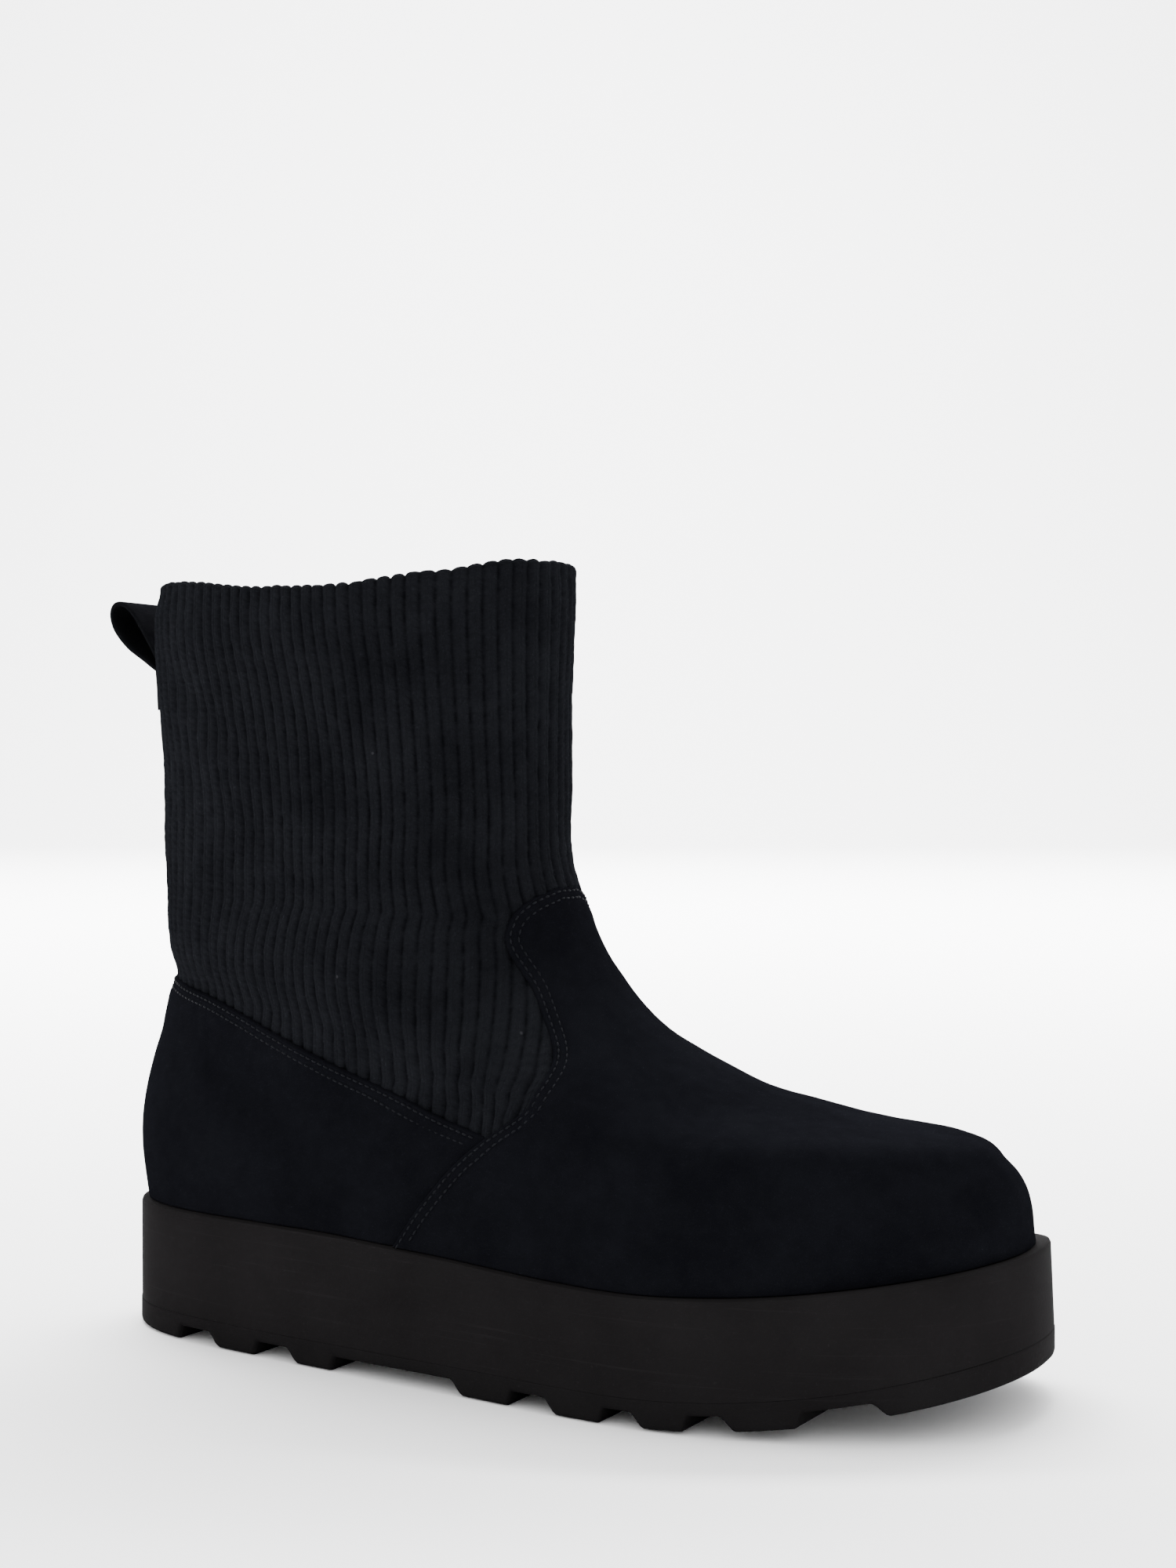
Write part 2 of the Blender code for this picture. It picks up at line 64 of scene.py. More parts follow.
LUG_RAMP_BACK = 0.0045
LUG_RAMP_FRONT = 0.0018
TOE_FLARE = 0.0010
WALL = 0.0030
SUEDE_TOP = 0.0022
INSOLE_THICKNESS = 0.0040
INSOLE_CLEARANCE = 0.0012
GAP = 0.0003
SOLE_JOINT = 0.00006
TAPE_WIDTH = 0.0200
TAPE_THICKNESS = 0.0014
TAPE_STITCHED = 0.0120
LOOP_LENGTH = 0.0250
LOOP_OPENING = 0.0088
LOOP_LEAN = math.radians(37.0)
LOOP_BELOW_COLLAR = 0.0225

LUGS = (
    (0.000, 0.116),
    (0.180, 0.228),
    (0.290, 0.333),
    (0.500, 0.552),
    (0.610, 0.655),
    (0.703, 0.739),
    (0.789, 0.839),
    (0.915, 1.000),
)
ORIGIN_X = SOLE_LENGTH * (LUGS[1][0] + LUGS[1][1]) / 2

SPRING_START = 0.66
SPRING_ON_TOP = 0.80
THINNING_START = 0.28
THINNING_END = 0.70
WIDTH_PLACES = np.array([0.10, 0.45, 0.74, 1.00])
TOE_TURN_START = 0.35
TOE_TURN_IN = 0.128
SOLE_OUTER = (0.374, 0.445, 0.521, 0.370)
SOLE_INNER = (0.362, 0.373, 0.478, 0.495)
SOLE_BACK_ROUND = 6.5
SOLE_FRONT_ROUND = 9.3

# Rings of the upper: x is a share of the sole length, z a share of the shaft's rise
RING_COLUMNS = ("back_x", "back_z", "front_x", "front_z", "back_round", "front_round", "drape", "dip")
RINGS = (
    (0.0145, 0.000, 0.979, 0.000, 6.3, 7.6, 1.0, 0.000),
    (0.0055, 0.053, 0.977, 0.058, 5.4, 6.4, 0.9, 0.000),
    (-0.0010, 0.103, 0.971, 0.094, 4.6, 5.2, 0.7, 0.000),
    (0.0000, 0.158, 0.960, 0.119, 4.0, 4.4, 0.5, 0.000),
    (0.0085, 0.214, 0.939, 0.149, 3.5, 4.2, 0.3, 0.000),
    (0.022, 0.269, 0.873, 0.172, 3.1, 3.0, 0.1, 0.000),
    (0.031, 0.319, 0.784, 0.206, 2.8, 2.5, 0.0, 0.000),
    (0.041, 0.364, 0.702, 0.251, 2.6, 2.3, 0.0, 0.000),
    (0.037, 0.408, 0.617, 0.316, 2.5, 2.2, 0.0, 0.000),
    (0.033, 0.458, 0.557, 0.404, 2.4, 2.1, 0.0, 0.000),
    (0.029, 0.519, 0.527, 0.483, 2.3, 2.1, 0.0, 0.000),
    (0.027, 0.586, 0.509, 0.561, 2.2, 2.1, 0.0, 0.000),
    (0.027, 0.686, 0.508, 0.672, 2.2, 2.1, 0.0, 0.006),
    (0.022, 0.797, 0.509, 0.800, 2.2, 2.1, 0.0, 0.014),
    (0.017, 0.903, 0.512, 0.923, 2.2, 2.1, 0.0, 0.028),
    (0.0165, 0.985, 0.514, 1.015, 2.2, 2.1, 0.0, 0.039),
)

# Half widths of the rings: heel, waist, ball and toe of the outer, then inner side
RING_WIDTHS = (
    (0.335, 0.400, 0.466, 0.313, 0.323, 0.333, 0.424, 0.421),
    (0.342, 0.400, 0.468, 0.307, 0.328, 0.333, 0.427, 0.406),
    (0.342, 0.395, 0.466, 0.292, 0.328, 0.328, 0.424, 0.370),
    (0.337, 0.385, 0.458, 0.282, 0.323, 0.323, 0.416, 0.333),
    (0.331, 0.370, 0.442, 0.275, 0.318, 0.318, 0.401, 0.305),
    (0.328, 0.357, 0.428, 0.305, 0.318, 0.317, 0.397, 0.318),
    (0.328, 0.354, 0.414, 0.340, 0.319, 0.322, 0.394, 0.340),
    (0.332, 0.356, 0.400, 0.352, 0.324, 0.333, 0.386, 0.352),
    (0.342, 0.364, 0.386, 0.358, 0.335, 0.348, 0.379, 0.358),
    (0.355, 0.376, 0.382, 0.364, 0.350, 0.366, 0.379, 0.364),
    (0.367, 0.388, 0.387, 0.378, 0.364, 0.381, 0.386, 0.378),
    (0.378, 0.399, 0.399, 0.393, 0.378, 0.399, 0.399, 0.393),
    (0.388, 0.409, 0.409, 0.404, 0.388, 0.409, 0.409, 0.404),
    (0.399, 0.414, 0.414, 0.404, 0.399, 0.414, 0.414, 0.404),
    (0.404, 0.419, 0.419, 0.409, 0.404, 0.419, 0.419, 0.409),
    (0.404, 0.419, 0.419, 0.409, 0.404, 0.419, 0.419, 0.409),
)
TOP_RING = len(RINGS) - 1
RING_TABLE = np.hstack([np.array(RINGS), np.array(RING_WIDTHS)])
RING_TABLE = np.vstack([
    2 * RING_TABLE[0] - RING_TABLE[1], RING_TABLE, 2 * RING_TABLE[-1] - RING_TABLE[-2]])

# Suede edges on the rings: ring number, and angle from the back in radians
VAMP_EDGE = (
    (0.00, 1.394),
    (1.70, 1.512),
    (3.10, 1.612),
    (4.20, 1.720),
    (5.50, 1.920),
    (6.80, 2.160),
    (7.90, 2.425),
    (8.60, 2.530),
    (9.80, 2.580),
    (10.20, 2.700),
    (10.45, 2.860),
    (10.60, 3.030),
)
COUNTER_TOP = (
    (6.88, 0.00),
    (6.88, 0.55),
    (6.73, 0.90),
    (6.45, 1.04),
    (6.12, 1.14),
    (5.45, 1.30),
    (4.85, 1.42),
    (4.10, 1.54),
    (3.80, 1.62),
    (3.55, 1.70),
)

# Soft folds and swells of the outer side: middle x and z from the heel, direction in
# degrees above +X, half length, half width and height, all lengths in millimetres
KNIT_FOLDS = (
    (42, 178, -38, 26, 6.0, -1.3),
    (54, 162, -34, 30, 7.0, 0.9),
    (88, 166, -48, 24, 6.5, -1.1),
    (104, 146, -60, 26, 8.0, 0.9),
    (70, 128, 20, 30, 8.0, -0.8),
    (126, 140, 75, 16, 8.0, 1.4),
    (118, 112, 62, 20, 7.0, -1.0),
    (30, 122, 70, 20, 8.0, 0.8),
    (60, 198, 5, 40, 9.0, 0.6),
)
SUEDE_DENTS = (
    (150, 62, 60, 16, 7.0, -0.5),
    (172, 60, 68, 18, 6.0, -0.45),
    (193, 57, 74, 16, 6.0, -0.35),
    (118, 66, 40, 14, 8.0, 0.35),
    (60, 66, -15, 24, 9.0, -0.45),
    (30, 60, 70, 16, 8.0, 0.35),
    (225, 52, 30, 14, 9.0, -0.3),
)

# How the ribs run down the shaft: height, turn forward in radians, and front end of the
# tube that they wrap as a share of the sole's length
RIB_RUN = (
    (0.050, -0.110, 0.5585),
    (0.071, -0.092, 0.5607),
    (0.090, -0.105, 0.5520),
    (0.107, -0.075, 0.5380),
    (0.120, -0.005, 0.5270),
    (0.133, 0.060, 0.5400),
    (0.145, 0.095, 0.5600),
    (0.160, 0.085, 0.5600),
    (0.182, 0.048, 0.5600),
    (0.205, 0.000, 0.5600),
    (0.220, 0.000, 0.5600),
)

RIBS = 82
RIB_DEPTH = 0.0008
RIB_STEPS = 6
LOW_RIBS = 50
RIB_PITCH = 0.0041
LOOP_PITCH = 2.1
TAB_LEVEL = 10.6
KNIT_FOOT_LEVEL = 3.2
# The ribs in front of this turn fan out to go straight down, over this many rings
FAN_TURN = 2.2
FAN_LEVELS = 3.6

# Suede: how wide and deep its cut edge rolls, and rows of points beside it
EDGE_WIDTH = 0.0011
EDGE_DROP = 0.0015
EDGE_STEPS = (0.0, 0.00012, 0.0003, 0.00055, 0.0009, 0.0013, 0.0018, 0.0024, 0.0031, 0.0039, 0.0049)
FACE_STEP = 0.0016
LAP_HEIGHT = 0.0009
LAP_LEVEL = 4.3
STITCH_PITCH = 0.0022
STITCH_LENGTH = 0.0016
STITCH_RADIUS = 0.0003
STITCH_ROWS = (0.0014, 0.0036)

# Shades of the finishes, pairs from dark to light
SUEDE_SHADES = ((0.0027, 0.0028, 0.0037), (0.0039, 0.0041, 0.0053))
TAPE_SHADES = ((0.0024, 0.0025, 0.0031), (0.0048, 0.0049, 0.0057))
KNIT_SHADES = ((0.0044, 0.0047, 0.0057), (0.0072, 0.0077, 0.0092))
FOAM_SHADES = ((0.0057, 0.0053, 0.0055), (0.0078, 0.0073, 0.0076))
TREAD_SHADES = ((0.0054, 0.0050, 0.0052), (0.0074, 0.0070, 0.0073))
# Painted shade: darker colour laid into the grooves between the knit's ribs
KNIT_GROOVE_SHADE = (0.0014, 0.0015, 0.0019)
LINING_SHADE = (0.005, 0.005, 0.006)
FOOTBED_SHADE = (0.012, 0.012, 0.013)
THREAD_SHADE = (0.0046, 0.0049, 0.0061)
SUEDE_LINT = (0.030, 0.030, 0.033)
KNIT_LINT = (0.036, 0.036, 0.040)

# Camera, and lights by name, place, aim, size and power
CAMERA_PLACE = (0.4524 - ORIGIN_X, -0.5283, 0.1575)
CAMERA_TURN = math.radians(30.0)
CAMERA_LENS = 51.72
ROOM_LIGHT = 2.0
BOOT_MIDDLE = (0.06, 0.0, 0.10)
LIGHTS = (
    ("overhead", (-0.20, 0.35, 1.6), BOOT_MIDDLE, 1.0, 32.0),
    ("side_left", (-1.5, -0.75, 0.6), BOOT_MIDDLE, 1.1, 5.0),
    ("side_right", (1.35, 0.35, 0.6), BOOT_MIDDLE, 0.9, 0.6),
    ("wall_wash", (-0.9, 1.6, 3.0), (-2.6, 4.6, 0.0), 3.0, 1300.0),
)


def smooth(value):
    """Ease from 0 to 1, flat at both ends."""
    value = np.clip(value, 0.0, 1.0)
    return value * value * (3.0 - 2.0 * value)


def hump(distance, width):
    """Round bump of height 1 at zero distance."""
    return np.exp(-((distance / width) ** 2))


def hermite(part, step, first, first_slope, last, last_slope):
    """Cubic between two values with given slopes, at a part of the step between them."""
    return (
        (2 * part**3 - 3 * part**2 + 1) * first
        + (part**3 - 2 * part**2 + part) * step * first_slope
        + (3 * part**2 - 2 * part**3) * last
        + (part**3 - part**2) * step * last_slope
    )


def between_places(share, values):
    """Smooth curve through four values at the width places, value table per point."""
    values = np.asarray(values, float)
    slopes = np.gradient(values, WIDTH_PLACES, axis=-1)
    slopes[..., 0] = 0.0
    share = np.clip(share, WIDTH_PLACES[0], WIDTH_PLACES[-1])
    index = np.clip(np.searchsorted(WIDTH_PLACES, share, side="right") - 1, 0, 2)
    step = WIDTH_PLACES[index + 1] - WIDTH_PLACES[index]
    part = (share - WIDTH_PLACES[index]) / step
    values = np.broadcast_to(values, share.shape + (4,))
    slopes = np.broadcast_to(slopes, share.shape + (4,))

    def pick(array, k):
        return np.take_along_axis(array, (index + k)[..., None], axis=-1)[..., 0]

    return hermite(part, step, pick(values, 0), pick(slopes, 0), pick(values, 1), pick(slopes, 1))


def through(share, rows, flat_start):
    """Smooth curve through the rows of a table of (place, value)."""
    places = np.array([row[0] for row in rows])
    values = np.array([row[1] for row in rows])
    slopes = np.gradient(values, places)
    if flat_start:
        slopes[0] = 0.0
    share = np.clip(share, places[0], places[-1])
    index = np.clip(np.searchsorted(places, share, side="right") - 1, 0, len(places) - 2)
    step = places[index + 1] - places[index]
    part = (share - places[index]) / step
    return hermite(part, step, values[index], slopes[index], values[index + 1], slopes[index + 1])


def spring(x):
    """Lift of the sole's bottom towards the toe."""
    start = SPRING_START * SOLE_LENGTH
    return TOE_SPRING * np.clip((x - start) / (SOLE_LENGTH - start), 0.0, None) ** 2


def sole_top(x):
    """Height of the shelf that the upper stands on."""
    change = smooth((x / SOLE_LENGTH - THINNING_START) / (THINNING_END - THINNING_START))
    return HEEL_THICKNESS + (FOREFOOT_THICKNESS - HEEL_THICKNESS) * change + SPRING_ON_TOP * spring(x)


def middle_line(x):
    """Sideways turn of the foot's middle line towards the big toe."""
    turn = np.clip((x / SOLE_LENGTH - TOE_TURN_START) / (1.0 - TOE_TURN_START), 0.0, 1.0)
    return TOE_TURN_IN * BALL_WIDTH * turn**2


def closed_end(q, back_round, front_round):
    """Width of a ring along its length q from -1 to 1, closing round at both ends."""
    power = np.where(q < 0.0, back_round, front_round)
    return np.sqrt(np.clip(1.0 - np.abs(q) ** power, 0.0, None))


def sole_outline(angle, inset):
    """Outline of the sole seen from above, moved in along its normal."""

    def raw(a):
        q = -np.cos(a)
        share = (1.0 + q) / 2.0
        outer = np.sin(a) >= 0.0
        width = np.where(outer, between_places(share, SOLE_OUTER), between_places(share, SOLE_INNER))
        x = SOLE_LENGTH * share
        half = width * BALL_WIDTH * closed_end(q, SOLE_BACK_ROUND, SOLE_FRONT_ROUND)
        return np.stack([x, middle_line(x) - np.where(outer, 1.0, -1.0) * half], axis=-1)

    step = 1e-4
    along = raw(angle + step) - raw(angle - step)
    along /= np.linalg.norm(along, axis=-1, keepdims=True)
    inward = np.stack([-along[..., 1], along[..., 0]], axis=-1)
    return raw(angle) + inward * np.asarray(inset)[..., None]


def ring_values(level):
    """Values of the ring table between its rows, on a smooth curve through them."""
    index = np.clip(np.floor(level).astype(int), 0, TOP_RING - 1)
    part = (level - index)[..., None]
    before, here, after, beyond = (RING_TABLE[index + k] for k in range(4))
    return 0.5 * (
        2 * here
        + (after - before) * part
        + (2 * before - 5 * here + 4 * after - beyond) * part**2
        + (3 * here - before - 3 * after + beyond) * part**3
    )


def form_point(level, angle):
    """Point of the wall's outer face: x runs along the ring as a cosine, y is the half
    width times the ring's closed end, z follows the ring's slope, drape and dip."""
    level, angle = np.broadcast_arrays(np.asarray(level, float), np.asarray(angle, float))
    values = ring_values(level)
    column = {name: values[..., k] for k, name in enumerate(RING_COLUMNS)}
    widths = values[..., len(RING_COLUMNS):]
    q = -np.cos(angle)
    share = (1.0 + q) / 2.0
    outer = np.sin(angle) >= 0.0
    half = np.where(outer, between_places(share, widths[..., :4]), between_places(share, widths[..., 4:]))
    half = half * BALL_WIDTH * closed_end(q, column["back_round"], column["front_round"])
    back = column["back_x"] * SOLE_LENGTH
    front = column["front_x"] * SOLE_LENGTH
    x = back + (front - back) * share
    y = middle_line(x) - np.where(outer, 1.0, -1.0) * half
    sole_line = sole_top(back) + (sole_top(front) - sole_top(back)) * share
    rise = column["back_z"] + (column["front_z"] - column["back_z"]) * share
    dip = column["dip"] * np.sin(np.pi * share**1.3) ** 2
    z = GAP + sole_line + column["drape"] * (sole_top(x) - sole_line) + (rise - dip) * SHAFT_RISE
    return np.stack([x, y, z], axis=-1)


def form_slopes(level, angle):
    """Slopes of the face along the angle and the level."""
    step = 1e-3
    around = (form_point(level, angle + step) - form_point(level, angle - step)) / (2 * step)
    low = np.clip(level - step, 0.0, TOP_RING)
    high = np.clip(level + step, 0.0, TOP_RING)
    upward = (form_point(high, angle) - form_point(low, angle)) / (high - low)[..., None]
    return around, upward


def form_normal(level, angle):
    """Unit normal of the wall's outer face, pointing out."""
    level, angle = np.broadcast_arrays(np.asarray(level, float), np.asarray(angle, float))
    around, upward = form_slopes(level, angle)
    normal = np.cross(around, upward)
    return normal / np.linalg.norm(normal, axis=-1, keepdims=True)


def skin_point(level, angle, offset):
    """Point at a distance from the wall's outer face, kept above the sole."""
    level, angle = np.broadcast_arrays(np.asarray(level, float), np.asarray(angle, float))
    point = form_point(level, angle) + form_normal(level, angle) * np.asarray(offset)[..., None]
    floor = sole_top(point[..., 0]) + GAP
    point[..., 2] = np.where(level <= 0.0, floor, np.maximum(point[..., 2], floor))
    return point


def beside(level, angle, direction, distance):
    """Level and angle reached by going a short way over the face in a direction."""
    around, upward = form_slopes(level, angle)
    aa = np.sum(around * around, axis=-1)
    au = np.sum(around * upward, axis=-1)
    uu = np.sum(upward * upward, axis=-1)
    da = np.sum(direction * around, axis=-1) * distance
    du = np.sum(direction * upward, axis=-1) * distance
    bottom = aa * uu - au * au
    return level + (aa * du - au * da) / bottom, angle + (uu * da - au * du) / bottom


def waves(point, seed, size):
    """Smooth wandering value near -1 to 1, from a few crossed sine waves of a given size."""
    source = np.random.default_rng(seed)
    total = np.zeros(point.shape[:-1])
    for _ in range(7):
        way = source.normal(size=3)
        way *= source.uniform(0.6, 1.7) / np.linalg.norm(way)
        total += np.sin(point @ way * (2 * math.pi / size) + source.uniform(0, 2 * math.pi))
    return total / 3.2


def folds(point, table):
    """Soft troughs and ridges on the outer side, and mirrored, weaker, on the inner."""
    total = np.zeros(point.shape[:-1])
    side = np.where(point[..., 1] < 0.0, 1.0, -0.6)
    near = smooth(np.abs(point[..., 1]) / 0.012)
    for x, z, turn, length, width, height in table:
        dx = point[..., 0] * 1000 - x
        dz = point[..., 2] * 1000 - z
        c, s = math.cos(math.radians(turn)), math.sin(math.radians(turn))
        total += height * hump(dx * c + dz * s, length) * hump(dz * c - dx * s, width)
    return total * side * near * 0.001


def world(points):
    """Move points from the heel's back corner to the origin under the heel."""
    return np.asarray(points) - np.array([ORIGIN_X, 0.0, 0.0])


def grid_faces(rows, columns, wrap=False, start=0):
    """Quads of a grid of points, wound so that rising rows and turning columns face out."""
    i = np.arange(rows - 1)[:, None]
    j = np.arange(columns if wrap else columns - 1)[None, :]
    a = i * columns + j
    b = i * columns + (j + 1) % columns
    quads = np.stack(np.broadcast_arrays(a, b, b + columns, a + columns), axis=-1)
    return quads.reshape(-1, 4) + start


def add_mesh(name, points, faces, finish, uv=None, sharp=None):
    """Smooth-shaded mesh object from arrays, with an optional UV value per point."""
    points = np.asarray(points, float).reshape(-1, 3)
    faces = np.asarray(faces, np.int32)
    mesh = bpy.data.meshes.new(name)
    mesh.vertices.add(len(points))
    mesh.vertices.foreach_set("co", world(points).astype(np.float32).ravel())
    mesh.loops.add(faces.size)
    mesh.loops.foreach_set("vertex_index", faces.ravel())
    mesh.polygons.add(len(faces))
    mesh.polygons.foreach_set("loop_start", np.arange(len(faces), dtype=np.int32) * faces.shape[1])
    mesh.update(calc_edges=True)
    mesh.validate()
    if uv is not None:
        layer = mesh.uv_layers.new(name="UVMap")
        corners = np.empty(len(mesh.loops), np.int32)
        mesh.loops.foreach_get("vertex_index", corners)
        layer.data.foreach_set("uv", np.asarray(uv, np.float32).reshape(-1, 2)[corners].ravel())
    mesh.shade_smooth()
    if sharp is not None:
        mesh.set_sharp_from_angle(angle=math.radians(sharp))
    mesh.materials.append(finish)
    made = bpy.data.objects.new(name, mesh)
    bpy.context.scene.collection.objects.link(made)
    return made


# Node groups, each built once


def new_group(name, inputs, outputs):
    """Empty node group with its sockets, and its input and output nodes."""
    group = bpy.data.node_groups.new(name, "ShaderNodeTree")
    for label, kind, value in inputs:
        socket = group.interface.new_socket(name=label, in_out="INPUT", socket_type=kind)
        if value is not None:
            socket.default_value = value
    for label, kind in outputs:
        group.interface.new_socket(name=label, in_out="OUTPUT", socket_type=kind)
    return group, group.nodes.new("NodeGroupInput"), group.nodes.new("NodeGroupOutput")


def noise(tree, vector, scale, detail=3.0, rough=0.55):
    """Noise texture node on a vector."""
    node = tree.nodes.new("ShaderNodeTexNoise")
    node.inputs["Scale"].default_value = scale
    node.inputs["Detail"].default_value = detail
    node.inputs["Roughness"].default_value = rough
    tree.links.new(vector, node.inputs["Vector"])
    return node.outputs["Fac"]


def calc(tree, kind, first, second=None, third=None):
    """Math node on sockets or numbers."""
    node = tree.nodes.new("ShaderNodeMath")
    node.operation = kind
    for k, value in enumerate((first, second, third)):
        if value is None:
            continue
        if isinstance(value, (int, float)):
            node.inputs[k].default_value = value
        else:
            tree.links.new(value, node.inputs[k])
    return node.outputs[0]


def ramp(tree, value, low, high, to_low=0.0, to_high=1.0):
    """Map a value from one range to another, clamped."""
    node = tree.nodes.new("ShaderNodeMapRange")
    node.inputs["From Min"].default_value = low
    node.inputs["From Max"].default_value = high
    node.inputs["To Min"].default_value = to_low
    node.inputs["To Max"].default_value = to_high
    tree.links.new(value, node.inputs["Value"])
    return node.outputs["Result"]


def mix(tree, share, first, second):
    """Mix two colours, each a socket or an RGB triple."""
    node = tree.nodes.new("ShaderNodeMix")
    node.data_type = "RGBA"
    tree.links.new(share, node.inputs["Factor"])
    for label, value in (("A", first), ("B", second)):
        socket = [s for s in node.inputs if s.name == label and s.type == "RGBA"][0]
        if isinstance(value, tuple):
            socket.default_value = (*value, 1.0)
        else:
            tree.links.new(value, socket)
    return [s for s in node.outputs if s.type == "RGBA"][0]


def bump(tree, height, distance, strength=1.0, under=None):
    """Bump node, optionally on top of another normal."""
    node = tree.nodes.new("ShaderNodeBump")
    node.inputs["Distance"].default_value = distance
    node.inputs["Strength"].default_value = strength
    tree.links.new(height, node.inputs["Height"])
    if under is not None:
        tree.links.new(under, node.inputs["Normal"])
    return node.outputs["Normal"]


def make_fibre_group():
    """Short matted fibres: a fine height, and a slow shade that wanders over the piece."""
    group, take, give = new_group(
        "fibres",
        [("Vector", "NodeSocketVector", None), ("Fineness", "NodeSocketFloat", 1500.0)],
        [("Height", "NodeSocketFloat"), ("Shade", "NodeSocketFloat")],
    )
    fine = group.nodes.new("ShaderNodeTexNoise")
    fine.inputs["Detail"].default_value = 4.0
    fine.inputs["Roughness"].default_value = 0.7
    group.links.new(take.outputs["Vector"], fine.inputs["Vector"])
    group.links.new(take.outputs["Fineness"], fine.inputs["Scale"])
    middle = noise(group, take.outputs["Vector"], 260.0)
    slow = noise(group, take.outputs["Vector"], 38.0, 2.0)
    height = calc(group, "MULTIPLY_ADD", middle, 0.5, fine.outputs["Fac"])
    shade = calc(group, "MULTIPLY_ADD", middle, 0.35, calc(group, "MULTIPLY", slow, 0.65))
    group.links.new(height, give.inputs["Height"])
    group.links.new(shade, give.inputs["Shade"])
    return group


def make_lint_group():
    """Sparse pale specks of lint and dust, as a mask."""
    group, take, give = new_group(
        "lint",
        [("Vector", "NodeSocketVector", None), ("Spacing", "NodeSocketFloat", 110.0)],
        [("Mask", "NodeSocketFloat")],
    )
    cells = group.nodes.new("ShaderNodeTexVoronoi")
    cells.inputs["Randomness"].default_value = 1.0
    group.links.new(take.outputs["Vector"], cells.inputs["Vector"])
    group.links.new(take.outputs["Spacing"], cells.inputs["Scale"])
    dot = ramp(group, cells.outputs["Distance"], 0.03, 0.06, 1.0, 0.0)
    rare = ramp(group, noise(group, take.outputs["Vector"], 75.0, 1.0), 0.60, 0.66)
    group.links.new(calc(group, "MULTIPLY", dot, rare), give.inputs["Mask"])
    return group


FIBRES = make_fibre_group()
LINT = make_lint_group()


def start_material(name, sheen=0.0, sheen_tint=(1.0, 1.0, 1.0), specular=0.5):
    """Material with its Principled shader and Object coordinates."""
    made = bpy.data.materials.new(name)
    made.use_nodes = True
    tree = made.node_tree
    shader = tree.nodes["Principled BSDF"]
    shader.inputs["Sheen Weight"].default_value = sheen
    shader.inputs["Sheen Roughness"].default_value = 0.45
    shader.inputs["Sheen Tint"].default_value = (*sheen_tint, 1.0)
    shader.inputs["Specular IOR Level"].default_value = specular
    coordinates = tree.nodes.new("ShaderNodeTexCoord")
    return made, tree, shader, coordinates


def use_group(tree, group, vector, **values):
    """Group node fed with a vector and numbers."""
    node = tree.nodes.new("ShaderNodeGroup")
    node.node_tree = group
    tree.links.new(vector, node.inputs["Vector"])
    for label, value in values.items():
        node.inputs[label].default_value = value
    return node


def suede_material(name, dark, light):
    """Black suede: matted nap, slow hand-brushed shading and a little lint."""
    made, tree, shader, at = start_material(name, sheen=0.002, sheen_tint=(0.80, 0.85, 1.0), specular=0.0)
    place = at.outputs["Object"]
    fibre = use_group(tree, FIBRES, place, Fineness=1500.0)
    lint = use_group(tree, LINT, place, Spacing=95.0)
    colour = mix(tree, ramp(tree, fibre.outputs["Shade"], 0.36, 0.64), dark, light)
    colour = mix(tree, calc(tree, "MULTIPLY", lint.outputs["Mask"], 0.5), colour, SUEDE_LINT)
    tree.links.new(colour, shader.inputs["Base Color"])
    tree.links.new(ramp(tree, fibre.outputs["Shade"], 0.3, 0.7, 0.84, 0.97), shader.inputs["Roughness"])
    soft = bump(tree, noise(tree, place, 120.0, 2.0), 0.0004, 0.5)
    tree.links.new(bump(tree, fibre.outputs["Height"], 0.00025, 0.9, soft), shader.inputs["Normal"])
    return made


def knit_material(name):
    """Rib knit: V-shaped loops up each rib, painted shade darkening the grooves between the ribs, fuzz and lint.
    """
    made, tree, shader, at = start_material(name, sheen=0.006, sheen_tint=(0.82, 0.88, 1.0), specular=0.0)
    place = at.outputs["Object"]
    split = tree.nodes.new("ShaderNodeSeparateXYZ")
    tree.links.new(at.outputs["UV"], split.inputs[0])
    across = calc(tree, "FRACT", split.outputs["X"])
    centre = calc(tree, "ABSOLUTE", calc(tree, "SUBTRACT", across, 0.5))
    wander = noise(tree, place, 160.0, 2.0)
    along = calc(tree, "MULTIPLY_ADD", centre, 0.9, calc(tree, "MULTIPLY", split.outputs["Y"], 1.0 / LOOP_PITCH))
    along = calc(tree, "MULTIPLY_ADD", wander, 0.7, along)
    loop = calc(tree, "SINE", calc(tree, "MULTIPLY", along, 2 * math.pi))
    valley = ramp(tree, centre, 0.0, 0.10, -0.55, 0.0)
    broken = ramp(tree, noise(tree, place, 330.0, 2.0), 0.35, 0.62, 0.25, 1.0)
    # Painted shade: mask of the grooves between the ribs, broken up by noise, where the colour is darkened
    groove_shade_mask = calc(tree, "MULTIPLY", ramp(tree, centre, 0.30, 0.50), broken)
    fibre = use_group(tree, FIBRES, place, Fineness=1900.0)
    lint = use_group(tree, LINT, place, Spacing=105.0)
    height = calc(tree, "MULTIPLY_ADD", loop, 0.30, valley)
    height = calc(tree, "MULTIPLY_ADD", fibre.outputs["Height"], 0.9, height)
    colour = mix(tree, ramp(tree, fibre.outputs["Shade"], 0.35, 0.65), *KNIT_SHADES)
    # Painted shade: the colour darkens in the grooves between the ribs
    colour = mix(tree, calc(tree, "MULTIPLY", groove_shade_mask, 0.7), colour, KNIT_GROOVE_SHADE)
    colour = mix(tree, calc(tree, "MULTIPLY", lint.outputs["Mask"], 0.45), colour, KNIT_LINT)
    tree.links.new(colour, shader.inputs["Base Color"])
    shader.inputs["Roughness"].default_value = 0.96
    tree.links.new(bump(tree, height, 0.00045, 0.9), shader.inputs["Normal"])
    return made


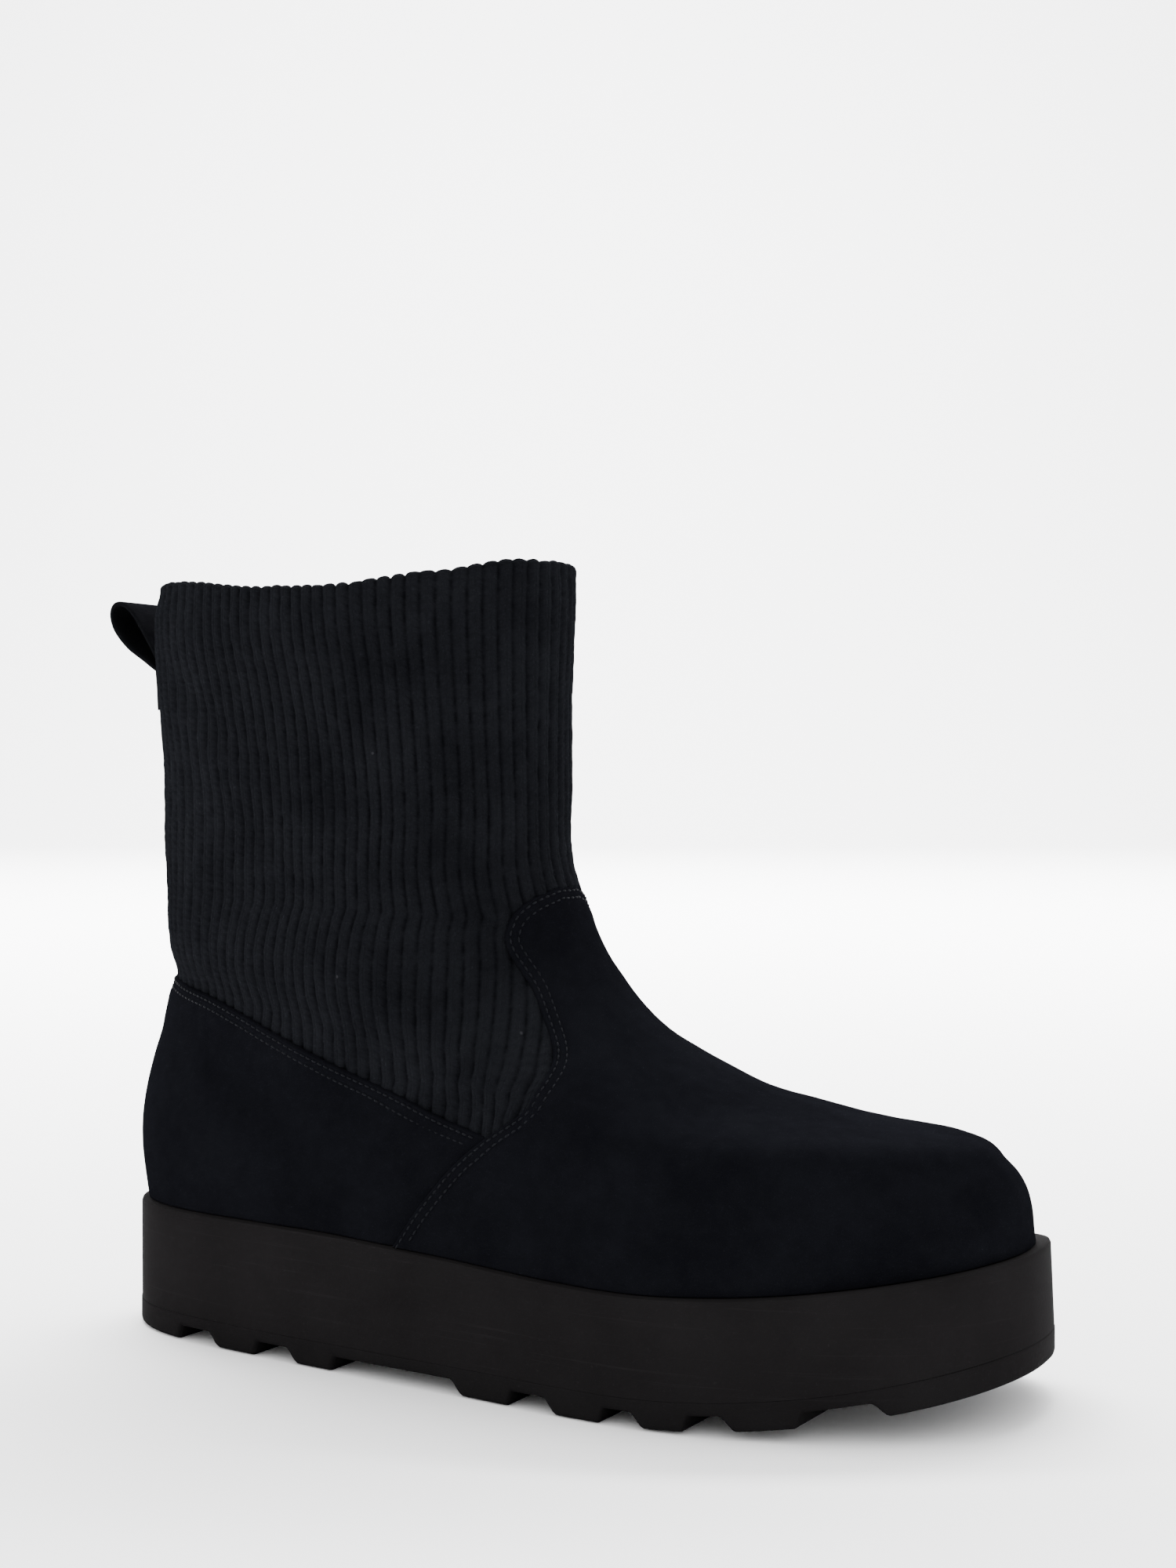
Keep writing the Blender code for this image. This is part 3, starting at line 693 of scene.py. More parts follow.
def rubber_material(name, dark, light, grain, scratches):
    """Matt moulded slab: fine skin grain, cloudy shade, and faint level scratches."""
    made, tree, shader, at = start_material(name, specular=0.008)
    place = at.outputs["Object"]
    cloud = noise(tree, place, 34.0, 4.0)
    fine = noise(tree, place, 900.0, 3.0)
    stretch = tree.nodes.new("ShaderNodeMapping")
    stretch.inputs["Scale"].default_value = (6.0, 6.0, 420.0)
    tree.links.new(place, stretch.inputs["Vector"])
    line = noise(tree, stretch.outputs["Vector"], 3.0, 4.0, 0.65)
    mark = ramp(tree, line, 0.60, 0.78)
    colour = mix(tree, ramp(tree, cloud, 0.3, 0.7), dark, light)
    pale = tuple(min(1.0, 2.0 * c) for c in light)
    colour = mix(tree, calc(tree, "MULTIPLY", mark, scratches), colour, pale)
    colour = mix(tree, ramp(tree, fine, 0.66, 0.80, 0.0, 0.35), colour, pale)
    tree.links.new(colour, shader.inputs["Base Color"])
    tree.links.new(ramp(tree, cloud, 0.3, 0.7, 0.74, 0.88), shader.inputs["Roughness"])
    height = calc(tree, "MULTIPLY_ADD", line, 0.5, fine)
    tree.links.new(bump(tree, height, grain, 0.6), shader.inputs["Normal"])
    return made


def cloth_material(name, colour, weave):
    """Plain woven or brushed cloth for lining and footbed."""
    made, tree, shader, at = start_material(name, sheen=0.02, specular=0.06)
    place = at.outputs["Object"]
    threads = tree.nodes.new("ShaderNodeTexWave")
    threads.inputs["Scale"].default_value = weave
    threads.inputs["Distortion"].default_value = 2.0
    tree.links.new(place, threads.inputs["Vector"])
    fibre = use_group(tree, FIBRES, place, Fineness=1200.0)
    pale = tuple(1.8 * c for c in colour)
    shade = mix(tree, ramp(tree, fibre.outputs["Shade"], 0.3, 0.7), colour, pale)
    tree.links.new(shade, shader.inputs["Base Color"])
    shader.inputs["Roughness"].default_value = 0.93
    height = calc(tree, "MULTIPLY_ADD", threads.outputs["Fac"], 0.5, fibre.outputs["Height"])
    tree.links.new(bump(tree, height, 0.0003, 0.7), shader.inputs["Normal"])
    return made


def thread_material(name, colour):
    """Twisted sewing thread."""
    made, tree, shader, at = start_material(name, specular=0.03)
    twist = noise(tree, at.outputs["Object"], 2400.0, 2.0)
    pale = tuple(1.7 * c for c in colour)
    tree.links.new(mix(tree, ramp(tree, twist, 0.35, 0.65), colour, pale), shader.inputs["Base Color"])
    shader.inputs["Roughness"].default_value = 0.6
    tree.links.new(bump(tree, twist, 0.0002, 0.6), shader.inputs["Normal"])
    return made


SUEDE = suede_material("suede_nap", *SUEDE_SHADES)
TAPE = suede_material("tape_nap", *TAPE_SHADES)
KNIT = knit_material("rib_knit_wool")
FOAM = rubber_material("slab_foam", *FOAM_SHADES, grain=0.00012, scratches=0.35)
TREAD = rubber_material("tread_rubber", *TREAD_SHADES, grain=0.00015, scratches=0.15)
LINING = cloth_material("shaft_lining", LINING_SHADE, weave=900.0)
FOOTBED = cloth_material("footbed_cloth", FOOTBED_SHADE, weave=700.0)
THREAD = thread_material("sewing_thread", THREAD_SHADE)


def both_sides(half_angles):
    """Angles of one side, mirrored to go all the way round."""
    return np.concatenate([half_angles, 2.0 * math.pi - half_angles[-2:0:-1]])


def slab_mesh(name, rings, finish, sharp):
    """Closed slab from outline rings, bottom to top, with caps ruled straight across."""
    count, around = rings.shape[:2]
    walls = grid_faces(count, around, wrap=True)
    j = np.arange(around // 2)
    cap = np.stack([j, (around - j) % around, (around - j - 1) % around, j + 1], axis=-1)
    top = cap[:, ::-1] + (count - 1) * around
    return add_mesh(name, rings, np.concatenate([walls[:, ::-1], cap, top]), finish, sharp=sharp)


def tread_corners():
    """Corners of the tread: x, and height above the sprung bottom, ramps softly curved."""
    corners = []
    for start, end in LUGS:
        if start > 0.0:
            for part in (1.0, 0.82, 0.60, 0.38, 0.18, 0.0):
                x = start * SOLE_LENGTH - LUG_RAMP_BACK * part
                corners.append((x, LUG_DEPTH * smooth(np.float64(part)) ** 0.9))
        if end < 1.0:
            for part in (0.0, 0.3, 0.7, 1.0):
                x = end * SOLE_LENGTH + LUG_RAMP_FRONT * part
                corners.append((x, LUG_DEPTH * smooth(np.float64(part))))
    return np.array(corners)


def build_tread():
    """Rubber layer with curved lug faces, a rounded bottom edge and a barely eased top."""
    corners = tread_corners()
    fixed = np.arccos(1.0 - 2.0 * corners[:, 0] / SOLE_LENGTH)
    even = np.linspace(0.0, math.pi, 190)
    free = even[np.min(np.abs(even[:, None] - fixed[None, :]), axis=1) > 0.004]
    angles = both_sides(np.sort(np.concatenate([fixed, free])))
    mirrored = np.where(angles > math.pi, 2.0 * math.pi - angles, angles)
    x = SOLE_LENGTH * (1.0 - np.cos(mirrored)) / 2.0
    relief = np.interp(x, corners[:, 0], corners[:, 1], left=0.0, right=0.0)
    bottom = spring(x) + relief
    top = spring(x) + OUTSOLE_THICKNESS
    # Inset and height above the tread face, then inset and depth below the top edge
    low_edge = ((0.0016, 0.0), (0.0008, 0.0002), (0.0002, 0.0008), (0.0, 0.0016))
    high_edge = ((0.0, 0.0006), (0.0, 0.0002), (0.00015, 0.0))
    rings = []
    for inset, rise in low_edge:
        rings.append(np.column_stack([sole_outline(angles, np.full_like(angles, inset)), bottom + rise]))
    for inset, drop in high_edge:
        rings.append(np.column_stack([sole_outline(angles, np.full_like(angles, inset)), top - drop]))
    return slab_mesh("tread_layer", np.stack(rings), TREAD, 38.0)


def build_slab():
    """Thick slab, its side very slightly uneven, flared at the toe, with a rounded shelf."""
    angles = both_sides(np.linspace(0.0, math.pi, 260))
    mirrored = np.where(angles > math.pi, 2.0 * math.pi - angles, angles)
    x = SOLE_LENGTH * (1.0 - np.cos(mirrored)) / 2.0
    low = spring(x) + OUTSOLE_THICKNESS
    flare = TOE_FLARE * smooth(x / SOLE_LENGTH)
    rings = []
    for part in (0.0, 0.04, 0.2, 0.35, 0.5, 0.65, 0.8, 0.9, 0.955, 0.985, 1.0, 1.0):
        bend = min(1.0, max(0.0, (part - 0.955) / 0.045))
        edge = 0.0011 * (1.0 - math.sqrt(1.0 - bend**2))
        inset = 0.0001 + flare * part + edge
        outline = sole_outline(angles, inset)
        height = low + SOLE_JOINT + (sole_top(outline[:, 0]) - low - SOLE_JOINT) * part
        point = np.column_stack([outline, height])
        swell = waves(point, 5, 0.060) * 0.00012
        point[:, :2] = sole_outline(angles, inset + swell)
        rings.append(point)
    shelf = sole_outline(angles, 0.0045 + flare)
    rings[-1] = np.column_stack([shelf, sole_top(shelf[:, 0])])
    return slab_mesh("sole_slab", np.stack(rings), FOAM, 38.0)


def build_footbed():
    """Footbed with a soft rounded edge."""
    angles = both_sides(np.linspace(0.0, math.pi, 120))
    rings = []
    for inset, rise in ((0.0, 0.0), (0.0, 0.75), (0.0004, 0.93), (0.0014, 1.0)):
        ring = skin_point(0.0, angles, np.full_like(angles, -(WALL + INSOLE_CLEARANCE + inset)))
        ring[:, 2] = sole_top(ring[:, 0]) + GAP + INSOLE_THICKNESS * rise
        rings.append(ring)
    return slab_mesh("footbed", np.stack(rings), FOOTBED, 50.0)


def rib_run(height, column):
    """Value of the rib table at a height."""
    rows = [(row[0], row[column]) for row in RIB_RUN]
    return through(height, rows, flat_start=True)


def rib_turn(ribs):
    """Ring angle of a rib counted from the heel, from 0 to half the number of ribs.

    The ribs stand a little closer on the flat of each side than round the heel.
    """
    fine = np.linspace(0.0, math.pi, 2001)
    ring = form_point(float(TOP_RING) - 1.0, fine)
    middle = (fine[1:] + fine[:-1]) / 2.0
    step = np.linalg.norm(np.diff(ring[:, :2], axis=0), axis=1)
    step = step * (1.0 + 0.24 * hump(middle - 1.66, 0.45) - 0.20 * hump(middle - 0.80, 0.38))
    length = np.concatenate([[0.0], np.cumsum(step)])
    return np.interp(ribs / (RIBS / 2) * length[-1], length, fine)


def rib_angle(level, ribs):
    """Where on a ring a rib runs, as an angle of the outer side.

    On the shaft each rib keeps its share of the ring's length, turned by the table.
    Below the tab the front ribs go straight down, at their own pitch, under the vamp.
    """
    values = ring_values(level)
    back = values[..., 0]
    front = values[..., 2]
    turn = rib_turn(np.minimum(ribs, RIBS / 2))
    at = form_point(level, turn)
    tube = np.minimum(front, rib_run(at[..., 2], 2))
    wander = waves(at, 15, 0.034) * 0.006
    count = np.arange(RIBS / 2 + 1)
    split = np.interp(FAN_TURN, rib_turn(count), count)

    def place(from_turn):
        lean = rib_run(at[..., 2], 1) * (1.0 + 0.25 * np.cos(from_turn)) + wander
        return back + (tube - back) * (1.0 - np.cos(from_turn + np.sin(from_turn) * lean)) / 2.0

    straight = place(FAN_TURN) + (ribs - split) * RIB_PITCH / SOLE_LENGTH
    x = place(turn)
    free = smooth((TAB_LEVEL - level) / FAN_LEVELS) ** 2.5
    x = np.where(ribs > split, x + free * np.maximum(straight - x, 0.0), x)
    share = np.clip((x - back) / (front - back), 0.0, 1.0 - 0.025 * free)
    return np.arccos(1.0 - 2.0 * share)


def knit_relief(base, ribs, turn):
    """Height of the knit over the form: the ribs' bands, and apart from them the soft shape."""
    across = np.abs((ribs % 1.0) - 0.5)
    band = np.clip(1.0 - (across / 0.5) ** 2.6, 0.0, None)
    patchy = waves(base, 11, 0.014) * 0.28 + waves(base, 12, 0.0050) * 0.34
    relief = -RIB_DEPTH * (1.0 - band) * np.clip(1.0 + patchy, 0.15, 1.6)
    relief = relief + band * waves(base, 13, 0.0035) * 0.00010
    height = base[..., 2]
    heel = np.where(turn > math.pi, 2 * math.pi - turn, turn)
    shape = 0.00035 + 0.0005 * hump(turn - 3.2, 0.55) + folds(base, KNIT_FOLDS)
    shape = shape + waves(base, 14, 0.055) * 0.00035
    # Fuller just above the tab and above the counter, and all round the foot of the shaft
    shape = shape + 0.0012 * hump(height - 0.1275, 0.011) * hump(turn - 3.25, 0.55)
    shape = shape + 0.0016 * hump(height - 0.1130, 0.012) * hump(heel, 0.9)
    shape = shape + 0.0006 * smooth((0.130 - height) / 0.025)
    return relief, shape


def collar_shape(turn):
    """Height and pull-in of the collar round its edge: dips on the side, leans in at the heel."""
    side = np.where(turn > math.pi, 2 * math.pi - turn, turn)
    share = (1.0 - np.cos(side)) / 2.0
    rise = 0.0013 * hump(share - 0.57, 0.13) - 0.0011 * hump(share - 0.87, 0.06)
    lean = 0.0030 * hump(side, 0.62) + 0.0006 * hump(side - math.pi, 0.25)
    return np.where(turn > math.pi, 0.0, rise), lean


def build_knit():
    """Rib-knit shaft: a closed tube down to the tab, with its rolled collar, and an open
    sheet below it whose front edges lie under the vamp."""
    count = RIBS * RIB_STEPS
    ribs = np.arange(count) / RIB_STEPS
    from_heel = np.minimum(ribs, RIBS - ribs)
    levels = np.linspace(TAB_LEVEL, TOP_RING, 66)
    level = np.broadcast_to(levels[:, None], (len(levels), count))
    angle = rib_angle(level, np.broadcast_to(from_heel, level.shape))
    angle = np.where(ribs > RIBS / 2, 2 * math.pi - angle, angle)
    base = form_point(level, angle)
    relief, shape = knit_relief(base, from_heel, angle)
    turn = angle[-1]
    rise, lean = collar_shape(turn)
    near_top = smooth((base[..., 2] - (base[-1, :, 2] - 0.014)) / 0.014)
    outer = base + form_normal(level, angle) * (relief + shape - lean * near_top**3)[..., None]
    outer[..., 2] += rise * near_top
    normal = form_normal(levels[-1], turn)
    top = base[-1] + normal * (shape[-1] - lean)[:, None]
    top[:, 2] += rise
    rows = [*outer]
    for over in np.linspace(0.0, math.pi, 13)[1:]:
        inward = WALL / 2 * (1.0 - math.cos(over))
        climb = math.sin(over) * (WALL / 2 * (1.0 + 0.12 * waves(top, 21, 0.008)) + relief[-1] * 0.8)
        point = top + normal * (relief[-1] * 0.75 * math.cos(over) - inward)[:, None]
        point[:, 2] += climb
        rows.append(point)
    for part in np.arange(1, 9) / 9:
        level_in = np.full(count, TOP_RING - part)
        shift = -WALL - relief[-1] * 0.5 + (shape[-1] - lean) * (1.0 - part)
        inner = form_point(level_in, turn) + form_normal(level_in, turn) * shift[:, None]
        inner[:, 2] += rise * (1.0 - part)
        rows.append(inner)
    points = np.stack(rows)
    height = points[..., 2] * 1000.0
    height[len(levels):] = height[len(levels) - 1] + np.arange(1, 21)[:, None] * 0.8
    faces = grid_faces(len(points), count, wrap=True)
    uv = np.stack([np.broadcast_to(from_heel, height.shape), height], axis=-1)

    steps = np.arange(-LOW_RIBS * RIB_STEPS, LOW_RIBS * RIB_STEPS + 1) / RIB_STEPS
    levels = np.linspace(KNIT_FOOT_LEVEL, TAB_LEVEL, 62)
    level = np.broadcast_to(levels[:, None], (len(levels), len(steps)))
    low_ribs = np.broadcast_to(np.abs(steps), level.shape)
    low_angle = rib_angle(level, low_ribs) * np.where(steps < 0.0, -1.0, 1.0)
    low = form_point(level, low_angle % (2 * math.pi))
    relief, shape = knit_relief(low, low_ribs, low_angle % (2 * math.pi))
    # The sheet sinks to the form where it goes under the vamp
    sunk = smooth((np.abs(low_angle) - vamp_angle(level)) / 0.10) * smooth((TAB_LEVEL - level) / 0.25)
    low = low + form_normal(level, low_angle) * ((relief + shape) * (1.0 - sunk))[..., None]
    low_faces = grid_faces(*level.shape)
    wide = (low_angle[:-1, 1:] - low_angle[:-1, :-1] > 1e-4) & (low_angle[1:, 1:] - low_angle[1:, :-1] > 1e-4)
    low_faces = low_faces[wide.ravel()] + height.size
    low_uv = np.stack([low_ribs, low[..., 2] * 1000.0], axis=-1)
    return add_mesh(
        "knit_shaft",
        np.concatenate([points.reshape(-1, 3), low.reshape(-1, 3)]),
        np.concatenate([faces, low_faces]),
        KNIT,
        uv=np.concatenate([uv.reshape(-1, 2), low_uv.reshape(-1, 2)]),
    )


def build_lining():
    """Inside of the boot, from the collar's fold down to the sole."""
    angles = np.linspace(0.0, 2 * math.pi, 241)[:-1]
    levels = np.concatenate([np.linspace(TOP_RING - 0.5, 10.6, 20), np.linspace(10.6, 0.0, 50)[1:]])
    rows = []
    for level in levels:
        flat = skin_point(level, angles, np.full_like(angles, -WALL))
        flat += form_normal(level, angles) * (waves(flat, 31, 0.030) * 0.00025)[:, None]
        flat[:, 2] = np.maximum(flat[:, 2], sole_top(flat[:, 0]) + GAP)
        rows.append(flat)
    return add_mesh("lining", np.stack(rows), grid_faces(len(levels), len(angles), wrap=True), LINING)


def edge_distance(points, line):
    """Distance of each point to the nearest point of a dense line."""
    tree = kdtree.KDTree(len(line))
    for k, point in enumerate(line):
        tree.insert(point, k)
    tree.balance()
    flat = points.reshape(-1, 3)
    return np.array([tree.find(point)[2] for point in flat]).reshape(points.shape[:-1])


def vamp_angle(level):
    """Angle of the vamp's edge at a level of the rings."""
    return through(level, VAMP_EDGE, flat_start=False)


def vamp_border(count):
    """Levels and angles along the vamp's edge: up the outer side, over the tab and down."""
    dense = np.linspace(0.0, VAMP_EDGE[-1][0], 3000)
    side = vamp_angle(dense)
    over_tab = np.linspace(side[-1], 2 * math.pi - side[-1], 400)
    level = np.concatenate([dense, np.full_like(over_tab, dense[-1]), dense[::-1]])
    angle = np.concatenate([side, over_tab, 2 * math.pi - side[::-1]])
    return even_steps(level, angle, count)


def counter_border(count):
    """Levels and angles along the counter's top edge, from the outer to the inner side."""
    angle = np.linspace(COUNTER_TOP[-1][1], -COUNTER_TOP[-1][1], 3000)
    level = through(np.abs(angle), [(row[1], row[0]) for row in COUNTER_TOP], flat_start=True)
    return even_steps(level, angle, count)


def even_steps(level, angle, count):
    """Points spaced evenly along a line drawn on the form."""
    line = form_point(level, angle)
    length = np.concatenate([[0.0], np.cumsum(np.linalg.norm(np.diff(line, axis=0), axis=1))])
    even = np.linspace(0.0, length[-1], count)
    return np.interp(even, length, level), np.interp(even, length, angle)


def rolled_edge(distance, full):
    """Offset of a suede face near its cut edge: it turns down over the last millimetre."""
    part = np.clip(1.0 - distance / EDGE_WIDTH, 0.0, 1.0)
    return full - EDGE_DROP * (1.0 - np.sqrt(1.0 - part**2.4))


def lap_rise(level):
    """How far the vamp's edge rises where it laps over the counter."""
    return LAP_HEIGHT * smooth(LAP_LEVEL - level)


def seam_pull(distance):
    """Slight hollows where the stitch rows pull the suede down, and the swell between them."""
    total = sum(-0.00022 * hump(distance - row, 0.0006) for row in STITCH_ROWS)
    return total + 0.00012 * hump(distance - 0.0025, 0.0007) + 0.00018 * hump(distance - 0.0058, 0.0018)


def suede_offset(base, distance, full):
    """Offset of the suede's face from the wall: edge, seam, dents and soft swells."""
    calm = smooth(distance / 0.010)
    offset = rolled_edge(distance, full) + seam_pull(distance)
    offset = offset + (folds(base, SUEDE_DENTS) + waves(base, 41, 0.045) * 0.00022) * calm
    return offset + waves(base, 42, 0.012) * 0.00006


def near_steps(total):
    """Shares of a length, with fine steps by its start."""
    first = np.array(EDGE_STEPS)
    count = max(2, int((total - first[-1]) / FACE_STEP))
    rest = np.linspace(first[-1], total, count)[1:]
    return np.concatenate([first, rest]) / total


def build_vamp():
    """Suede toe and instep, lapping over the counter's front edges."""
    border = form_point(*vamp_border(1600))
    shares = near_steps(0.16)
    half = shares / 2.0
    across = np.concatenate([half, 1.0 - half[-2::-1]])
    top = VAMP_EDGE[-1][0]
    levels = top * (1.0 - near_steps(0.135))[::-1]
    level = np.broadcast_to(levels[:, None], (len(levels), len(across)))
    edge = vamp_angle(levels)[:, None]
    angle = edge + (2 * math.pi - 2 * edge) * across[None, :]
    base = form_point(level, angle)
    distance = edge_distance(base, border)
    offset = suede_offset(base, distance, SUEDE_TOP) + hump(distance, 0.007) * lap_rise(level)
    points = skin_point(level, angle, offset)
    return add_mesh("vamp_suede", points, grid_faces(*level.shape), SUEDE)


def build_counter():
    """Suede heel piece, tucked under the vamp at its front."""
    border = form_point(*counter_border(1200))
    angles = np.linspace(-COUNTER_TOP[-1][1], COUNTER_TOP[-1][1], 260)
    side = np.abs(angles)
    upper_level = through(side, [(row[1], row[0]) for row in COUNTER_TOP], flat_start=True)
    seam = np.linspace(0.0, 5.0, 300)
    lower = np.interp(side - 0.05, vamp_angle(seam), seam, left=0.0)
    lower = np.minimum(lower, upper_level - 0.05)
    part = 1.0 - near_steps(0.068)[::-1]
    level = lower[None, :] + (upper_level - lower)[None, :] * part[:, None]
    angle = np.broadcast_to(angles, level.shape)
    base = form_point(level, angle)
    distance = edge_distance(base, border)
    over = smooth((side - vamp_angle(np.clip(level, 0.0, 4.5)) + 0.035) / 0.06)
    offset = suede_offset(base, distance, SUEDE_TOP - 0.0001) - LAP_HEIGHT * over
    points = skin_point(level, angle, offset)
    return add_mesh("counter_suede", points, grid_faces(*level.shape), SUEDE)


def stitch_meshes(centres, along, up):
    """Points and faces of short lens-shaped stitches, all as one mesh."""
    ring = np.linspace(0.0, 2 * math.pi, 7)[:-1]
    stations = np.array([-1.0, -0.7, 0.0, 0.7, 1.0])
    fat = np.array([0.15, 0.75, 1.0, 0.75, 0.15])
    side = np.cross(along, up)
    side /= np.linalg.norm(side, axis=1, keepdims=True)
    up = np.cross(side, along)
    local = []
    for place, size in zip(stations, fat):
        for a in ring:
            across = math.cos(a) * STITCH_RADIUS * size
            height = math.sin(a) * STITCH_RADIUS * size - 0.35 * STITCH_RADIUS * place**2
            local.append((place * STITCH_LENGTH / 2, across, height))
    local = np.array(local)
    points = (
        centres[:, None, :]
        + along[:, None, :] * local[None, :, 0:1]
        + side[:, None, :] * local[None, :, 1:2]
        + up[:, None, :] * local[None, :, 2:3]
    )
    one = grid_faces(len(stations), len(ring), wrap=True)
    faces = (one[None] + (np.arange(len(centres)) * len(local))[:, None, None]).reshape(-1, 4)
    return points.reshape(-1, 3), faces


def stitch_line(level, angle, inward, distance, raised, keep=None):
    """Centres, directions and normals of a row of stitches beside an edge."""
    line_level, line_angle = beside(level, angle, inward, distance)
    line = form_point(np.clip(line_level, 0.0, TOP_RING), line_angle)
    length = np.concatenate([[0.0], np.cumsum(np.linalg.norm(np.diff(line, axis=0), axis=1))])
    count = int(length[-1] / STITCH_PITCH)
    even = (np.arange(count) + 0.5) * STITCH_PITCH
    at_level = np.interp(even, length, line_level)
    at_angle = np.interp(even, length, line_angle)
    if keep is not None:
        chosen = keep(at_level, at_angle)
        at_level, at_angle = at_level[chosen], at_angle[chosen]
    normal = form_normal(at_level, at_angle)
    extra = raised(at_level) if callable(raised) else raised
    centre = form_point(at_level, at_angle) + normal * np.reshape(SUEDE_TOP - 0.00012 + extra, (-1, 1))
    along = np.gradient(centre, axis=0)
    along /= np.linalg.norm(along, axis=1, keepdims=True)
    return centre, along, normal


def edge_inward(level, angle, towards):
    """Unit direction on the face, square to a line, pointing to a side given by its sign."""
    line = form_point(level, angle)
    along = np.gradient(line, axis=0)
    along /= np.linalg.norm(along, axis=1, keepdims=True)
    return np.cross(form_normal(level, angle), along) * towards


def build_stitches():
    """Double rows along the vamp's edge and the counter's top."""
    parts, faces, total = [], [], 0
    rows = []
    level, angle = vamp_border(900)
    inward = edge_inward(level, angle, -1.0)
    for row in STITCH_ROWS:
        rows.append(stitch_line(level, angle, inward, row, lap_rise))
    level, angle = counter_border(700)
    inward = edge_inward(level, angle, 1.0)

    def clear_of_vamp(at_level, at_angle):
        return np.abs(at_angle) < vamp_angle(at_level) - 0.02

    for row in STITCH_ROWS:
        rows.append(stitch_line(level, angle, inward, row, 0.0, clear_of_vamp))
    for centre, along, normal in rows:
        points, quads = stitch_meshes(centre, along, normal)
        parts.append(points)
        faces.append(quads + total)
        total += len(points)
    return add_mesh("seam_stitches", np.concatenate(parts), np.concatenate(faces), THREAD)


def back_face(y, z):
    """Where the wall's back lies, for points beside the back line at a height."""
    levels = np.linspace(TOP_RING - 6.0, TOP_RING, 61)
    heights = form_point(levels, np.zeros_like(levels))[:, 2]
    level = np.interp(z, heights, levels)
    angles = np.linspace(-0.6, 0.6, 121)
    x = np.empty_like(z)
    for k in range(len(z)):
        line = form_point(np.full_like(angles, level[k]), -angles)
        x[k] = np.interp(y[k], line[:, 1], line[:, 0])
    return x


def tape_path(steps):
    """Middle of the folded tape: distance out from the back, height, and how round it lies."""
    inner = GAP + TAPE_THICKNESS / 2
    outer = inner + TAPE_THICKNESS + GAP
    collar = float(form_point(float(TOP_RING), 0.0)[2])
    root = collar - LOOP_BELOW_COLLAR
    foot = root - TAPE_STITCHED
    half = LOOP_OPENING / 2 + TAPE_THICKNESS / 2
    rows = [(inner, foot + TAPE_STITCHED * k / 10, 1.0) for k in range(10)]
    for k in range(steps + 1):
        turn = 2.0 * math.pi * k / steps
        along = LOOP_LENGTH * (1.0 - math.cos(turn)) / 2.0
        spread = half * math.sin(turn) * math.sin(turn / 2.0) ** 1.2
        leaf = outer - (outer - inner) * (1.0 + math.cos(turn / 2.0)) / 2.0
        out = leaf + along * math.sin(LOOP_LEAN) - spread * math.cos(LOOP_LEAN)
        height = root + along * math.cos(LOOP_LEAN) + spread * math.sin(LOOP_LEAN)
        rows.append((out, height, float(1.0 - smooth(along / LOOP_LENGTH * 1.6))))
    rows += [(outer, foot + TAPE_STITCHED * k / 10, 1.0) for k in range(9, -1, -1)]
    return np.array(rows)


def build_tape():
    """Pull loop: a closed section with rounded edges, swept along the folded path."""
    path = tape_path(72)
    along = np.gradient(path[:, :2], axis=0)
    along /= np.linalg.norm(along, axis=1, keepdims=True)
    across = np.column_stack([-along[:, 1], along[:, 0]])
    wide, thick = TAPE_WIDTH / 2, TAPE_THICKNESS / 2
    side = np.linspace(-wide + thick, wide - thick, 13)
    bend = np.linspace(-math.pi / 2, math.pi / 2, 7)[1:-1]
    section = [(s, -thick) for s in side]
    section += [(wide - thick + thick * math.cos(b), thick * math.sin(b)) for b in bend]
    section += [(s, thick) for s in side[::-1]]
    section += [(-wide + thick - thick * math.cos(b), -thick * math.sin(b)) for b in bend]
    columns = []
    for width, depth in section:
        line = path[:, :2] + across * depth
        height = line[:, 1]
        flat_x = back_face(np.zeros_like(height), height)
        round_x = back_face(np.full_like(height, width), height)
        base = flat_x + (round_x - flat_x) * path[:, 2]
        column = np.column_stack([base - line[:, 0], np.full_like(height, width), height])
        column[:, 0] += waves(column, 51, 0.010) * 0.00012
        columns.append(column)
    points = np.stack(columns, axis=1)
    rows, count = points.shape[:2]
    faces = grid_faces(rows, count, wrap=True)
    ends = []
    for start in (0, (rows - 1) * count):
        for k in range(count // 2 - 1):
            quad = (start + k, start + k + 1, start + count - 2 - k, start + count - 1 - k)
            ends.append(quad if start else quad[::-1])
    return add_mesh("pull_tape", points, np.concatenate([faces, np.array(ends)]), TAPE, sharp=60.0)


def build_tape_stitches():
    """Box of stitches that holds the tape to the back of the shaft."""
    collar = float(form_point(float(TOP_RING), 0.0)[2])
    top = collar - LOOP_BELOW_COLLAR - 0.001
    foot = top - TAPE_STITCHED + 0.0035
    out = 2 * TAPE_THICKNESS + 2 * GAP - 0.0001
    heights = np.arange(foot, top, STITCH_PITCH)
    widths = np.arange(-0.0078, 0.0079, STITCH_PITCH)
    places = [(side, h, True) for side in (-0.0085, 0.0085) for h in heights]
    places += [(w, h, False) for h in (foot - 0.001, top) for w in widths]
    centre, along = [], []
    for y, z, upright in places:
        x = float(back_face(np.array([y]), np.array([z]))[0]) - out
        centre.append((x, y, z))
        along.append((0.0, 0.0, 1.0) if upright else (0.0, 1.0, 0.0))
    centre = np.array(centre)
    outward = np.tile(np.array([[-1.0, 0.0, 0.0]]), (len(centre), 1))
    points, faces = stitch_meshes(centre, np.array(along), outward)
    return add_mesh("tape_stitches", points, faces, THREAD)


